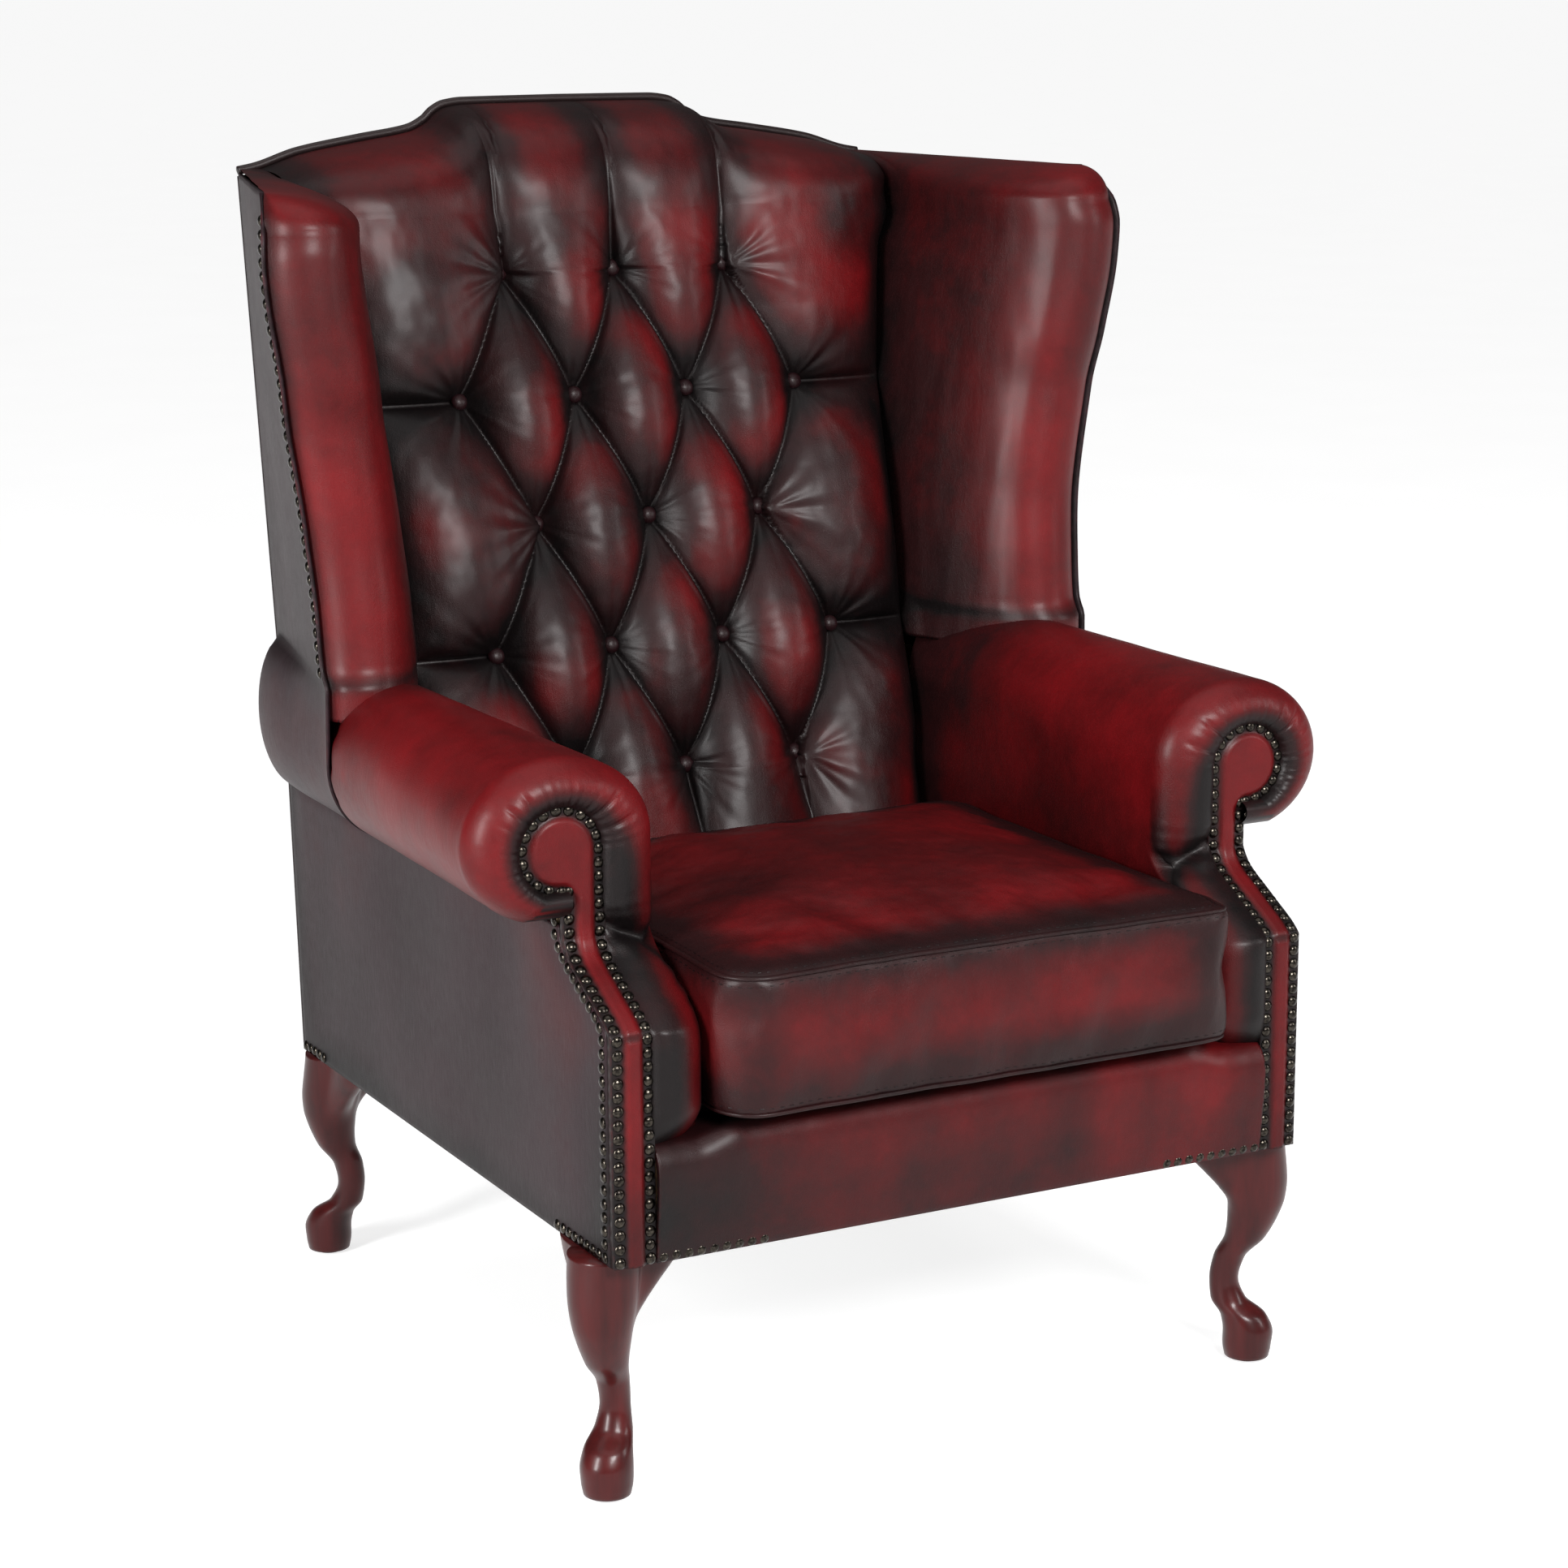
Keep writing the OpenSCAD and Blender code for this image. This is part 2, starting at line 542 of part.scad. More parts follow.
// Whether a crease that rises to the right crosses a cell of the pad's grid
function on_rising_crease(i, j) = i < 1 || i >= len(back_rows) ? 1
  : abs(sin(90 * (back_rows[i] + (j - half_cols) * 3 / button_cols))) < 0.01 ? 1 : 0;
module buttoned_back() {
  us = [-half_cols : half_cols];
  n = len([for (u = us) u]);
  over = len(over_share);
  rows = concat(
    [for (r = back_rows) [for (u = us) pad_point(u, r)]],
    [for (k = [0 : over - 1]) [for (u = us) over_point(u, k)]],
    [[for (u = us) let(p = over_point(u, over - 1)) [p[0], p[1], p[2] - crest_drop + 2 * fit]]],
    [[for (u = us) let(p = over_point(u, over - 1), z = p[2] - crest_drop + 2 * fit)
      [p[0], button_y(z) + pad_t, z]]],
    [[for (u = us) let(p = pad_point(u, back_rows[0])) [p[0], button_y(p[2]) + pad_t, p[2]]]]);
  m = len(rows);
  points = [for (row = rows) for (p = row) p];
  skin = [for (i = [0 : m - 1]) if (i != m - 2) for (j = [0 : n - 2]) let(k = (i + 1) % m)
    each on_rising_crease(i, j) == 0
      ? [[i * n + j, k * n + j, i * n + j + 1], [i * n + j + 1, k * n + j, k * n + j + 1]]
      : [[i * n + j, k * n + j, k * n + j + 1], [i * n + j, k * n + j + 1, i * n + j + 1]]];
  // The flat rear and the two ends follow the seams, from the bottom row up to the last one below the crest
  hub = m - 2;
  low = m - 1;
  last = len(back_rows) - 1;
  rear = [for (i = [1 : last]) for (u = [-half_cols, half_cols]) let(p = pad_point(u, back_rows[i]))
    [p[0], button_y(p[2]) + pad_t, p[2]]];
  function rear_end(i, side) = i == 0 ? low * n + side * (n - 1) : m * n + 2 * (i - 1) + side;
  function end_face(f, side) = side == 0 ? f : [f[0], f[2], f[1]];
  ends = [for (side = [0, 1]) let(e = side * (n - 1)) each concat(
    [for (i = [0 : last - 1]) each [end_face([rear_end(i, side), (i + 1) * n + e, i * n + e], side),
      end_face([rear_end(i, side), rear_end(i + 1, side), (i + 1) * n + e], side)]],
    [end_face([rear_end(last, side), hub * n + e, last * n + e], side)],
    [for (i = [last : hub - 2]) end_face([hub * n + e, (i + 1) * n + e, i * n + e], side)])];
  flat = concat([hub * n], [for (i = [last : -1 : 1]) rear_end(i, 0)], [for (j = [0 : n - 1]) low * n + j],
    [for (i = [1 : last]) rear_end(i, 1)], [for (j = [n - 1 : -1 : 1]) hub * n + j]);
  color(leather) polyhedron(concat(points, rear), concat(skin, ends, [flat]), convexity = 10);
}

function button_places() = [for (r = [0 : last_row]) for (s = [-3 : 3])
  if ((s + r) % 2 == 0 && abs(s) <= side_button(r))
    let(z = row_z - r * row_pitch) [s * button_pitch / 2, button_y(z), z]];
stem_d = 4;
// Outline of a button's cap, as shares of its diameter
cap_share = [[0.45, 0], [0.5, 0.1], [0.4, 0.24], [0.2, 0.33], [0, 0.36]];
module button() {
  rotate_extrude() polygon(concat([[0, -pad_t / 2], [stem_d / 2, -pad_t / 2], [stem_d / 2, 0]],
    [for (q = cap_share) q * button_d]));
}
module back_buttons() {
  color(dark_leather) for (p = button_places()) translate(p)
    rotate([90 - atan(back_slope_share), 0, 0]) button();
}

module outside_back() {
  color(dark_leather) intersection() {
    back_slab(leg_h, crest_h, cover_t, 0, half_w);
    front_board(crest_outline(half_w, leg_h, cover_end + cover_t / 3), -rear_y, top_y + board_t);
  }
}

piping_d = 8;
module crest_piping() {
  xs = concat([for (i = [len(crest_share) - 1 : -1 : 0]) -half_w * crest_share[i][0]],
    [for (i = [1 : len(crest_share) - 1]) half_w * crest_share[i][0]]);
  color(cloth) loft([for (i = [0 : len(xs) - 1]) let(x = xs[i], z = crest_z(x) - fit,
      y = out_y(z) - piping_d / 2)
    [for (k = [0 : 7]) [x, y + piping_d / 2 * cos(45 * k), z + piping_d / 2 * sin(45 * k)]]]);
}

// Arms

// Padded inside arm with its roll: hooks over the arm rail and ends at the facing
arc_steps = [for (a = [180 : -22.5 : -67.5]) a];
pad_stations_share = [[0, 1], [0.01, 0.45], [0.035, 0.1], [0.08, 0], [0.3, 0], [0.55, 0]];
// The roll steps in under the outside wing over this last share of its length
step_share = 0.01;
rim = 15;
rim_share = 0.8;
arm_heights = concat([rail_top + fit], [for (q = sweep_share) mix(kink_z, neck_z, q[0])]);
module inside_arm() {
  hidden = cover_end + cover_t / 3;
  k = len(arm_heights) - 1;
  last = 2 * k + len(arc_steps) + 5;
  join = join_y - fit;
  wing_start = (join + neck_y) / (button_y(roll_z) - tuft_h / 3 + neck_y);
  stations = concat(pad_stations_share,
    [[wing_start * (1 - step_share), 0, 0], [wing_start, 0, 1], [0.93, 0, 1], [1, 0, 1]]);
  color(leather) loft([for (q = stations) let(t = q[0], inset = rim * q[1], under = len(q) > 2 ? q[2] : 0,
      reach = mix(roll_front_reach, roll_wing_reach, t / wing_start) - inset - hidden * under,
      a_out = t > wing_start ? roll_rear_reach - hidden : reach,
      b = roll_b - rim_share * inset, low_b = b - hidden * under, near = t >= 0.93 ? 1 : t * t)
    let(outline = concat(
      [for (z = concat(arm_heights, [roll_z - roll_b / 2]))
        [mix(arm_in + inset / 2, seam_x(z) + 2 * fit, near), z]],
      [for (a = arc_steps) let(z = roll_z + (a < 0 ? low_b : b) * sin(a)) a > 90
        ? [half_w + (half_w - mix(arm_in + inset, seam_x(z) + 2 * fit, near)) * cos(a), z]
        : [half_w + a_out * cos(a), z]],
      [[board_out + fit, roll_z - low_b + fit], [board_out + fit, arm_board_top + fit],
        [board_in - fit, arm_board_top + fit]],
      [for (i = [k : -1 : 0]) [board_in - fit, arm_heights[i]]]))
    [for (p = outline) [p[0], t <= wing_start ? mix(facing_y(p[1]) + facing_t + fit, join, t / wing_start)
      : mix(join, button_y(p[1]) - tuft_h / 3, (t - wing_start) / (1 - wing_start)), p[1]]]],
    concat([[for (j = [k : last - k]) j]], [for (j = [0 : k - 1]) [j, j + 1, last - j - 1, last - j]]));
}
module inside_arm_right() { inside_arm(); }
module inside_arm_left() { left_of() inside_arm(); }

module outside_arm() {
  heights = concat([for (h = facing_heights) if (h < tuck_z) h], [tuck_z - fit]);
  front = [for (z = heights) [facing_y(z) + facing_t + fit, z]];
  rear = [[post_back(tuck_z), tuck_z - fit], [post_back(leg_h), leg_h]];
  color(dark_leather) side_board(concat(front, rear), board_out + fit / 2, half_w);
}
module outside_arm_right() { outside_arm(); }
module outside_arm_left() { left_of() outside_arm(); }

// Facing: a strip up the front of the arm that ends in a round scroll
module arm_facing() {
  front = [for (z = facing_heights) [facing_y(z), z]];
  n = len(front) - 1;
  back = [for (i = [n : -1 : 0]) [front[i][0] + facing_t, front[i][1]]];
  color(leather) union() {
    side_board(concat(front, back), facing_in, facing_out);
    translate([facing_in + scroll_r, facing_t - neck_y, scroll_z]) rotate([90, 0, 0])
      cylinder(r = scroll_r, h = facing_t);
  }
}
module arm_facing_right() { arm_facing(); }
module arm_facing_left() { left_of() arm_facing(); }

// Wings

nose_steps = [for (a = [-210 : 30 : -30]) a];
// The roll thins over a quarter round at the top: shares of its radius for the round's height and depth
round_share = [0.8, 0.7];
function nose_inset(z) = let(h = nose_r * round_share[0])
  nose_r * round_share[1] * (1 - sqrt(1 - pow(clamp1((z - wing_top + h) / h), 2)));
nose_rear_share = 0.6;
seam_gap = 4 * fit;
module inside_wing() {
  color(leather) loft([for (z = wing_heights)
    let(e = nose_inset(z), r = nose_r - e, xe = wing_x(z), ye = wing_front(z), y0 = ye + nose_r / 2,
      x0 = outer_skin_x(z, y0) - cover_end - wing_board_t - 2 * fit, seam = seam_x(z) + seam_gap)
    concat(
      [[x0, y0 - fit, z], [x0, y0 + fit, z], [board_out - fit, post_back(z) - back_post_t - 2 * fit, z],
        [seam, button_y(z) + pad_t + foam_t / 4, z], [seam, button_y(z) - 2 * fit, z],
        [max(seam, mix(xe - 2 * nose_r, seam_x(z), 0.5) - e / 3), mix(ye + nose_r, button_y(z), 0.5), z]],
      [for (a = nose_steps)
        [xe - nose_r + r * cos(a), y0 + r * sin(a) * (sin(a) < 0 ? 1 : nose_rear_share), z]])]);
}
module inside_wing_right() { inside_wing(); }
module inside_wing_left() { left_of() inside_wing(); }

module outside_wing() {
  low = [for (t = [0, 0.12, 0.3, 0.5, 0.7, 0.85]) mix(tuck_z + fit, wing_base, t)];
  heights = concat(low, wing_heights);
  color(dark_leather) loft([for (z = heights)
    concat([for (t = side_steps_share) let(p = side_at(z, t)) [p[0], p[1], z]],
      [for (i = [len(side_steps_share) - 1 : -1 : 0]) let(p = side_at(z, side_steps_share[i]))
        [p[0] - cover_t + (i == 0 ? 0 : fit / 2), p[1], z]])]);
}
module outside_wing_right() { outside_wing(); }
module outside_wing_left() { left_of() outside_wing(); }

// Front border: the apron with its padded roll along the top of the front rail
border_bulge = 8;
// Outline of the border's roll: shares of the bulge forwards and of the way up to the deck
border_share = [[0, 0], [0.7, 0.17], [1, 0.5], [0.6, 0.76], [-0.3, 0.93]];
module front_border() {
  top = rail_top + fit;
  foot = rail_top - rail_h / 4;
  deck = deck_z - 2 * fit;
  color(leather) union() {
    side_board([[-front_y, leg_h], [-post_y - fit, leg_h], [-post_y - fit, top], [-front_y, top]],
      -facing_in + fit, facing_in - fit);
    side_board(concat([for (q = border_share) [-front_y - q[0] * border_bulge, mix(foot, deck, q[1])]],
      [[2 * border_bulge - front_y, deck], [border_back, deck], [border_back, deck_base],
        [-post_y - fit, deck_base], [-post_y - fit, foot]]),
      -arm_in + 2 * fit, arm_in - 2 * fit);
  }
}

// Legs

// Shares up the leg: height, offset forwards and to the side, width, and size of the ears
leg_share = [[0, -0.03, 0.74, 0], [0.045, -0.03, 0.93, 0], [0.107, -0.02, 1, 0], [0.18, -0.08, 0.8, 0],
  [0.25, -0.27, 0.3, 0], [0.34, -0.33, 0, 0], [0.44, -0.27, 0.1, 0], [0.54, -0.08, 0.55, 0],
  [0.645, 0.01, 1.05, 0], [0.716, 0.04, 1.35, 0.06], [0.787, 0.03, 1.62, 0.25], [0.86, 0, 1.78, 0.52],
  [0.93, -0.03, 1.85, 0.8], [1, -0.05, 1.85, 1]];
leg_sides = 24;
ear_spread = 36;
function lobe(a, at) = let(d = abs((a - at + 540) % 360 - 180))
  d > ear_spread ? 0 : pow(cos(90 * d / ear_spread), 2);
module leg(x, y, sy, rake = 0) {
  top = leg_h - fit - dust_t / 4;
  // Ears point inwards along the two rails
  color(mahogany) translate([x, y, 0]) loft([for (q = leg_share)
    let(z = mix(glide_h, top, q[0]), off = q[1] * ankle_d * 2, r = mix(ankle_d, foot_d, q[2]) / 2,
      e = q[3] * (ear - knee_d / 2))
    [for (k = [0 : leg_sides - 1]) let(a = 360 * k / leg_sides,
      g = r + e * (lobe(a, 180) + lobe(a, sy > 0 ? 270 : 90)))
      [off + g * cos(a), off * sy - rake * smooth(q[0]) + g * sin(a), z]]]);
}
module leg_front_right() { leg(foot_front_x, -foot_front_y, -1); }
module leg_front_left() { left_of() leg(foot_front_x, -foot_front_y, -1); }
module leg_rear_right() { leg(foot_rear_x, foot_rear_y, 1, rear_rake); }
module leg_rear_left() { left_of() leg(foot_rear_x, foot_rear_y, 1, rear_rake); }

bolt_d = 8;
bolt_l = 70;
bolt_x = (board_in + board_out) / 2;
foot_places = [[foot_front_x, -foot_front_y], [foot_rear_x, foot_rear_y]];
bolt_places = [[bolt_x, post_foot / 2 - post_y], [bolt_x, post_back(leg_h) - back_post_t / 2]];
module leg_bolts() {
  color(steel) for (side = [0, 1]) mirror([side, 0, 0]) for (p = bolt_places)
    translate([p[0], p[1], leg_h - bolt_l / 2]) cylinder(d = bolt_d, h = bolt_l);
}

module foot_glides() {
  off = leg_share[0][1] * ankle_d * 2;
  color(cloth) for (side = [0, 1]) mirror([side, 0, 0]) for (p = foot_places)
    translate([p[0] + off, p[1] + off * sign(p[1]), 0]) cylinder(d = glide_d, h = glide_h);
}

// Nails

nail_inset = nail_d / 2 + fit;
function scroll_point(a) = [facing_in + scroll_r + (scroll_r - nail_inset) * cos(a), -neck_y,
  scroll_z + (scroll_r - nail_inset) * sin(a)];
function strip_points(x) = [for (z = facing_heights) if (z < scroll_z)
  [x, facing_y(z), max(z, leg_h + nail_inset)]];
neck_corner_a = -asin((scroll_r - facing_w / 2) / scroll_r) - 28;
facing_inner = concat(strip_points(facing_in + nail_inset), [for (a = [180 : -20 : -20]) scroll_point(a)],
  [scroll_point(neck_corner_a)]);
facing_outer = [for (p = strip_points(facing_out - nail_inset)) if (p[2] < scroll_z - scroll_r + nail_d) p];
module facing_nail(p) {
  slope = (facing_y(p[2] + nail_d / 4) - facing_y(p[2] - nail_d / 4)) / (nail_d / 2);
  translate([p[0], facing_y(p[2]), p[2]]) rotate([90 - atan(slope), 0, 0]) nail();
}
module facing_nails() {
  color(bronze) {
    for (p = spaced(facing_inner, nail_pitch)) facing_nail(p);
    for (p = spaced(facing_outer, nail_pitch)) facing_nail(p);
  }
}
module facing_nails_right() { facing_nails(); }
module facing_nails_left() { left_of() facing_nails(); }

base_nails_front = 9;
base_nails_side = 8;
base_nails_rear = 5;
module side_nail(y, z) {
  translate([half_w, y, z]) rotate([0, 90, 0]) nail();
}
module side_nails() {
  low = leg_h + nail_inset;
  rise = [for (z = [low, kink_z, mix(kink_z, neck_z, sweep_share[2][0]), neck_z - nail_d])
    [0, facing_y(z) + facing_t + nail_inset + 2 * shank_d, z]];
  color(bronze) {
    for (p = spaced(rise, nail_pitch)) side_nail(p[1], p[2]);
    for (k = [1 : base_nails_side]) side_nail(rise[0][1] + k * nail_pitch, low);
    for (k = [0 : base_nails_rear - 1]) side_nail(post_back(low) - nail_inset - k * nail_pitch, low);
  }
}
module side_nails_right() { side_nails(); }
module side_nails_left() { left_of() side_nails(); }

module front_nails() {
  color(bronze) for (side = [0, 1]) mirror([side, 0, 0]) for (k = [0 : base_nails_front - 1])
    translate([facing_in - fit - nail_inset - k * nail_pitch, -front_y, leg_h + nail_inset])
      rotate([90, 0, 0]) nail();
}

module wing_nail(z) {
  a = side_front(z);
  b = side_rear(z);
  d = (b - a) / norm(b - a);
  p = a + d * nail_d;
  translate([p[0], p[1], z]) rotate([0, 0, atan2(d[1], d[0]) - 90]) rotate([0, 90, 0]) nail();
}
module wing_nails() {
  z0 = wing_base + nail_d;
  z1 = wing_top - nose_r / 2;
  n = round((z1 - z0) / nail_pitch);
  color(bronze) for (k = [0 : n]) wing_nail(mix(z0, z1, k / n));
}
module wing_nails_right() { wing_nails(); }
module wing_nails_left() { left_of() wing_nails(); }

// Cushion

cushion_z = deck_z + belly + fit;
cushion_front = front_y + cushion_overhang;
cushion_rear = button_y(cushion_z) - tuft_h - cushion_gap;
cushion_half = arm_in - 2 * fit;
cushion_mid = (cushion_rear - cushion_front) / 2;
cushion_len = (cushion_front + cushion_rear) / 2;
cushion_steps = 32;
rear_corner_r = corner_r / 2;
// Outline of the cushion's panels from above: rounded corners and sides that draw in between them.
// The welts stand outside it by a clearance.
function cushion_edge(a, grow) = let(
    hx = cushion_half - welt_d + grow, hy = cushion_len - welt_d + grow,
    r = (sin(a) < 0 ? corner_r : rear_corner_r) + grow,
    c = cos(a), s = sin(a), k = max(abs(c) / hx, abs(s) / hy), px = c / k, py = s / k,
    cx = hx - r, cy = hy - r, in_corner = abs(px) > cx && abs(py) > cy,
    q = in_corner ? let(v = [abs(px) - cx, abs(py) - cy], f = r / norm(v)) [cx + v[0] * f, cy + v[1] * f]
      : [abs(px), abs(py)],
    pull = in_corner ? 0 : abs(px) >= hx - fit / 9 ? draw_in * (1 - pow(abs(py) / cy, 2))
      : draw_in * (1 - pow(abs(px) / cx, 2)))
  [sign(c) * (q[0] - (abs(px) >= hx - fit / 9 && !in_corner ? pull : 0)),
    cushion_mid + sign(s) * (q[1] - (abs(px) < hx - fit / 9 && !in_corner ? pull : 0))];
cushion_angles = [for (k = [0 : cushion_steps - 1]) 360 * (k + 0.5) / cushion_steps];
function cushion_ring(z, share, grow) = [for (a = cushion_angles) let(p = cushion_edge(a, grow))
  [p[0] * share, cushion_mid + (p[1] - cushion_mid) * share, z]];

// Crowned shell: rings that close in towards the middle, and the same rings again one thickness below
crown_share = [[1, 0], [0.94, 0.3], [0.82, 0.6], [0.6, 0.86], [0.3, 0.97], [0.04, 1]];
function crown_rings(z, rise, grow) = [for (q = crown_share) cushion_ring(z + rise * q[1], q[0], grow)];
module cushion_top() {
  z = cushion_z + cushion_h;
  outer = crown_rings(z, crown, 0);
  inner = crown_rings(z - leather_t, crown, 0);
  n = len(outer);
  color(leather) loft(concat([for (i = [n - 1 : -1 : 0]) inner[i]], outer));
}

base_share = [[1, 0], [0.9, 1], [0.04, 1]];
module cushion_base() {
  outer = [for (q = base_share) cushion_ring(cushion_z - belly * q[1], q[0], 0)];
  inner = [for (q = base_share) cushion_ring(cushion_z - belly * q[1] + leather_t, q[0], 0)];
  color(dark_leather) loft(concat([outer[2], outer[1], outer[0]], [inner[0], inner[1], inner[2]]));
}

// Boxing: the band between the welts, slightly swollen at mid height
boxing_share = [[0, 0], [0.3, 0.85], [0.7, 0.85], [1, 0]];
boxing_swell = 3;
module cushion_boxing() {
  z0 = cushion_z + leather_t + fit;
  z1 = cushion_z + cushion_h - leather_t - fit;
  n = len(boxing_share) - 1;
  outer = [for (q = boxing_share) cushion_ring(mix(z0, z1, q[0]), 1, boxing_swell * q[1])];
  inner = [for (i = [n : -1 : 0]) let(q = boxing_share[i])
    cushion_ring(mix(z0, z1, q[0]), 1, boxing_swell * q[1] - leather_t)];
  rings = concat(outer, inner);
  m = len(rings);
  s = cushion_steps;
  faces = [for (i = [0 : m - 1]) for (j = [0 : s - 1]) let(k = (j + 1) % s, l = (i + 1) % m)
    each [[i * s + j, l * s + k, i * s + k], [i * s + j, l * s + j, l * s + k]]];
  color(leather) polyhedron([for (r = rings) for (p = r) p], faces, convexity = 4);
}

core_inset = 4;
module cushion_core() {
  z0 = cushion_z + leather_t + fit;
  z1 = cushion_z + cushion_h - leather_t - fit;
  color(foam_yellow) translate([0, 0, z0]) linear_extrude(z1 - z0)
    polygon([for (a = cushion_angles) cushion_edge(a, -core_inset)]);
}

module welt(z) {
  sides = 6;
  s = cushion_steps;
  rings = [for (k = [0 : sides - 1]) let(b = 360 * (k + 0.5) / sides)
    [for (a = cushion_angles) let(p = cushion_edge(a, welt_d / 2 + fit + welt_d / 2 * cos(b)))
      [p[0], p[1], z + welt_d / 2 * sin(b)]]];
  faces = [for (i = [0 : sides - 1]) for (j = [0 : s - 1]) let(k = (j + 1) % s, l = (i + 1) % sides)
    each [[i * s + j, l * s + k, i * s + k], [i * s + j, l * s + j, l * s + k]]];
  color(dark_leather) polyhedron([for (r = rings) for (p = r) p], faces, convexity = 4);
}
module cushion_welt_top() { welt(cushion_z + cushion_h); }
module cushion_welt_base() { welt(cushion_z + leather_t); }

front_rail();
back_rail();
side_rail_left();
side_rail_right();
corner_blocks();
arm_post_left();
arm_post_right();
arm_rail_left();
arm_rail_right();
back_post_left();
back_post_right();
crest_rail();
lower_back_rail();
wing_board_left();
wing_board_right();
seat_springs();
spring_clips();
seat_deck();
dust_cover();
back_webbing();
back_foam();
buttoned_back();
back_buttons();
outside_back();
crest_piping();
inside_arm_left();
inside_arm_right();
outside_arm_left();
outside_arm_right();
arm_facing_left();
arm_facing_right();
inside_wing_left();
inside_wing_right();
outside_wing_left();
outside_wing_right();
front_border();
leg_front_left();
leg_front_right();
leg_rear_left();
leg_rear_right();
leg_bolts();
foot_glides();
facing_nails_left();
facing_nails_right();
side_nails_left();
side_nails_right();
wing_nails_left();
wing_nails_right();
front_nails();
cushion_core();
cushion_top();
cushion_base();
cushion_boxing();
cushion_welt_top();
cushion_welt_base();
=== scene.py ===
"""Wing armchair with a deep-buttoned back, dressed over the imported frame. Metres; the chair faces -Y."""
import json
from math import atan, cos, exp, pi, radians, sin
import bpy
import bmesh
import numpy as np
from mathutils import Matrix, Vector, noise
from mathutils.bvhtree import BVHTree


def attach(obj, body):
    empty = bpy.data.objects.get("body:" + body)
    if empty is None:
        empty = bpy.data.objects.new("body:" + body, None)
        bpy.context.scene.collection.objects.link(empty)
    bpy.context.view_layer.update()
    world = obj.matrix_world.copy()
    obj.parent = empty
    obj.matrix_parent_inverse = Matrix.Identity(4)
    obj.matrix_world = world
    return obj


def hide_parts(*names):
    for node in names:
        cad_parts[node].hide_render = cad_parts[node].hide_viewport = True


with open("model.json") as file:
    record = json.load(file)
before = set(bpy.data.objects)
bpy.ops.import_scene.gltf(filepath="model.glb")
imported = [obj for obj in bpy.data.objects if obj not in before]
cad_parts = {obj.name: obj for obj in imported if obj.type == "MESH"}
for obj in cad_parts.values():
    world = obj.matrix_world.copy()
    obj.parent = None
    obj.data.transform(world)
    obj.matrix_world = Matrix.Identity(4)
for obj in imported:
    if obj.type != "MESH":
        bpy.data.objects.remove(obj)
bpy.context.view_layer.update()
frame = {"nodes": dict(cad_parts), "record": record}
random = np.random.default_rng(7)

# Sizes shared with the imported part
half_w = 0.318
front_y, neck_y = 0.368, 0.285
kink_z, neck_z = 0.390, 0.447
rear_y, knee_y, top_y = 0.303, 0.319, 0.405
leg_h, rail_top, deck_z = 0.204, 0.286, 0.312
cover_t, fit = 0.004, 0.0003
arm_in, arm_top = 0.236, 0.590
roll_b = 0.0665
roll_z, tuck_z = arm_top - roll_b, arm_top - 2 * roll_b
roll_front, roll_wing, roll_rear = 0.078, 0.058, 0.027
facing_w, facing_t = 0.036, 0.008
facing_in = half_w - facing_w
scroll_r, scroll_z = 0.0375, 0.518
scroll_x = facing_in + scroll_r
crest_h, crest_rise, crest_drop = 1.060, 0.057, 0.026
button_pitch, row_pitch, row_z = 0.113, 0.110, 0.910
back_foot_y, back_slope = 0.098, 0.240 / 0.748
tuft_h, pad_t, button_d = 0.042, 0.012, 0.017
seam_top = 0.300
wing_out, wing_low, wing_y, wing_top = 0.414, 0.375, 0.070, 1.000
nose_r = 0.042
join_y = wing_y - 0.24 * nose_r
wing_base = arm_top + 7 * fit
nail_d, nail_h, nail_pitch = 0.0096, 0.0026, 0.011
nail_inset = nail_d / 2 + fit
foot_d, ankle_d, knee_d, ear, glide_h = 0.043, 0.025, 0.058, 0.068, 0.003
front_foot, rear_foot, rear_rake = (0.308, -0.325), (0.296, 0.317), 0.034
cushion_front, cushion_rear, cushion_h = 0.405, 0.055, 0.116
cushion_z = deck_z + 0.0033
corner_r, draw_in, welt_d = 0.042, 0.004, 0.007
crown, belly = 0.024, 0.003

sweep_share = [(0, 0), (0.12, 0.1), (0.45, 0.5), (0.8, 0.9), (1, 1)]
crest_share = [(0, 1), (0.3, 0.99), (0.36, 0.95), (0.395, 0.86), (0.425, 0.72), (0.48, 0.58), (0.63, 0.45),
               (0.82, 0.27), (0.95, 0.05), (1, 0)]
seam_share = [(0, 0), (0.17, 0.04), (0.24, 0.16), (0.36, 0.225), (0.46, 0.29), (0.63, 0.41), (0.81, 0.75),
              (0.86, 1), (1, 1)]
flare_share = [(0, 0), (0.154, 0.03), (0.305, 0.15), (0.512, 0.46), (0.637, 0.67), (0.8, 0.95), (0.873, 1),
               (0.922, 0.95), (0.966, 0.79), (1, 0.6)]
wing_sweep_share = [(0, -0.24), (0.04, 0), (0.154, 0.13), (0.305, 0.27), (0.512, 0.27), (0.637, 0.08),
                    (0.8, 0), (0.873, 0), (0.922, 0.1), (0.966, 0.47), (1, 1)]


# Curves of the chair
def mix(a, b, t):
    return a + (b - a) * t


def smooth(t):
    t = np.clip(t, 0, 1)
    return t * t * (3 - 2 * t)


def bell(t):
    return np.exp(-t * t)


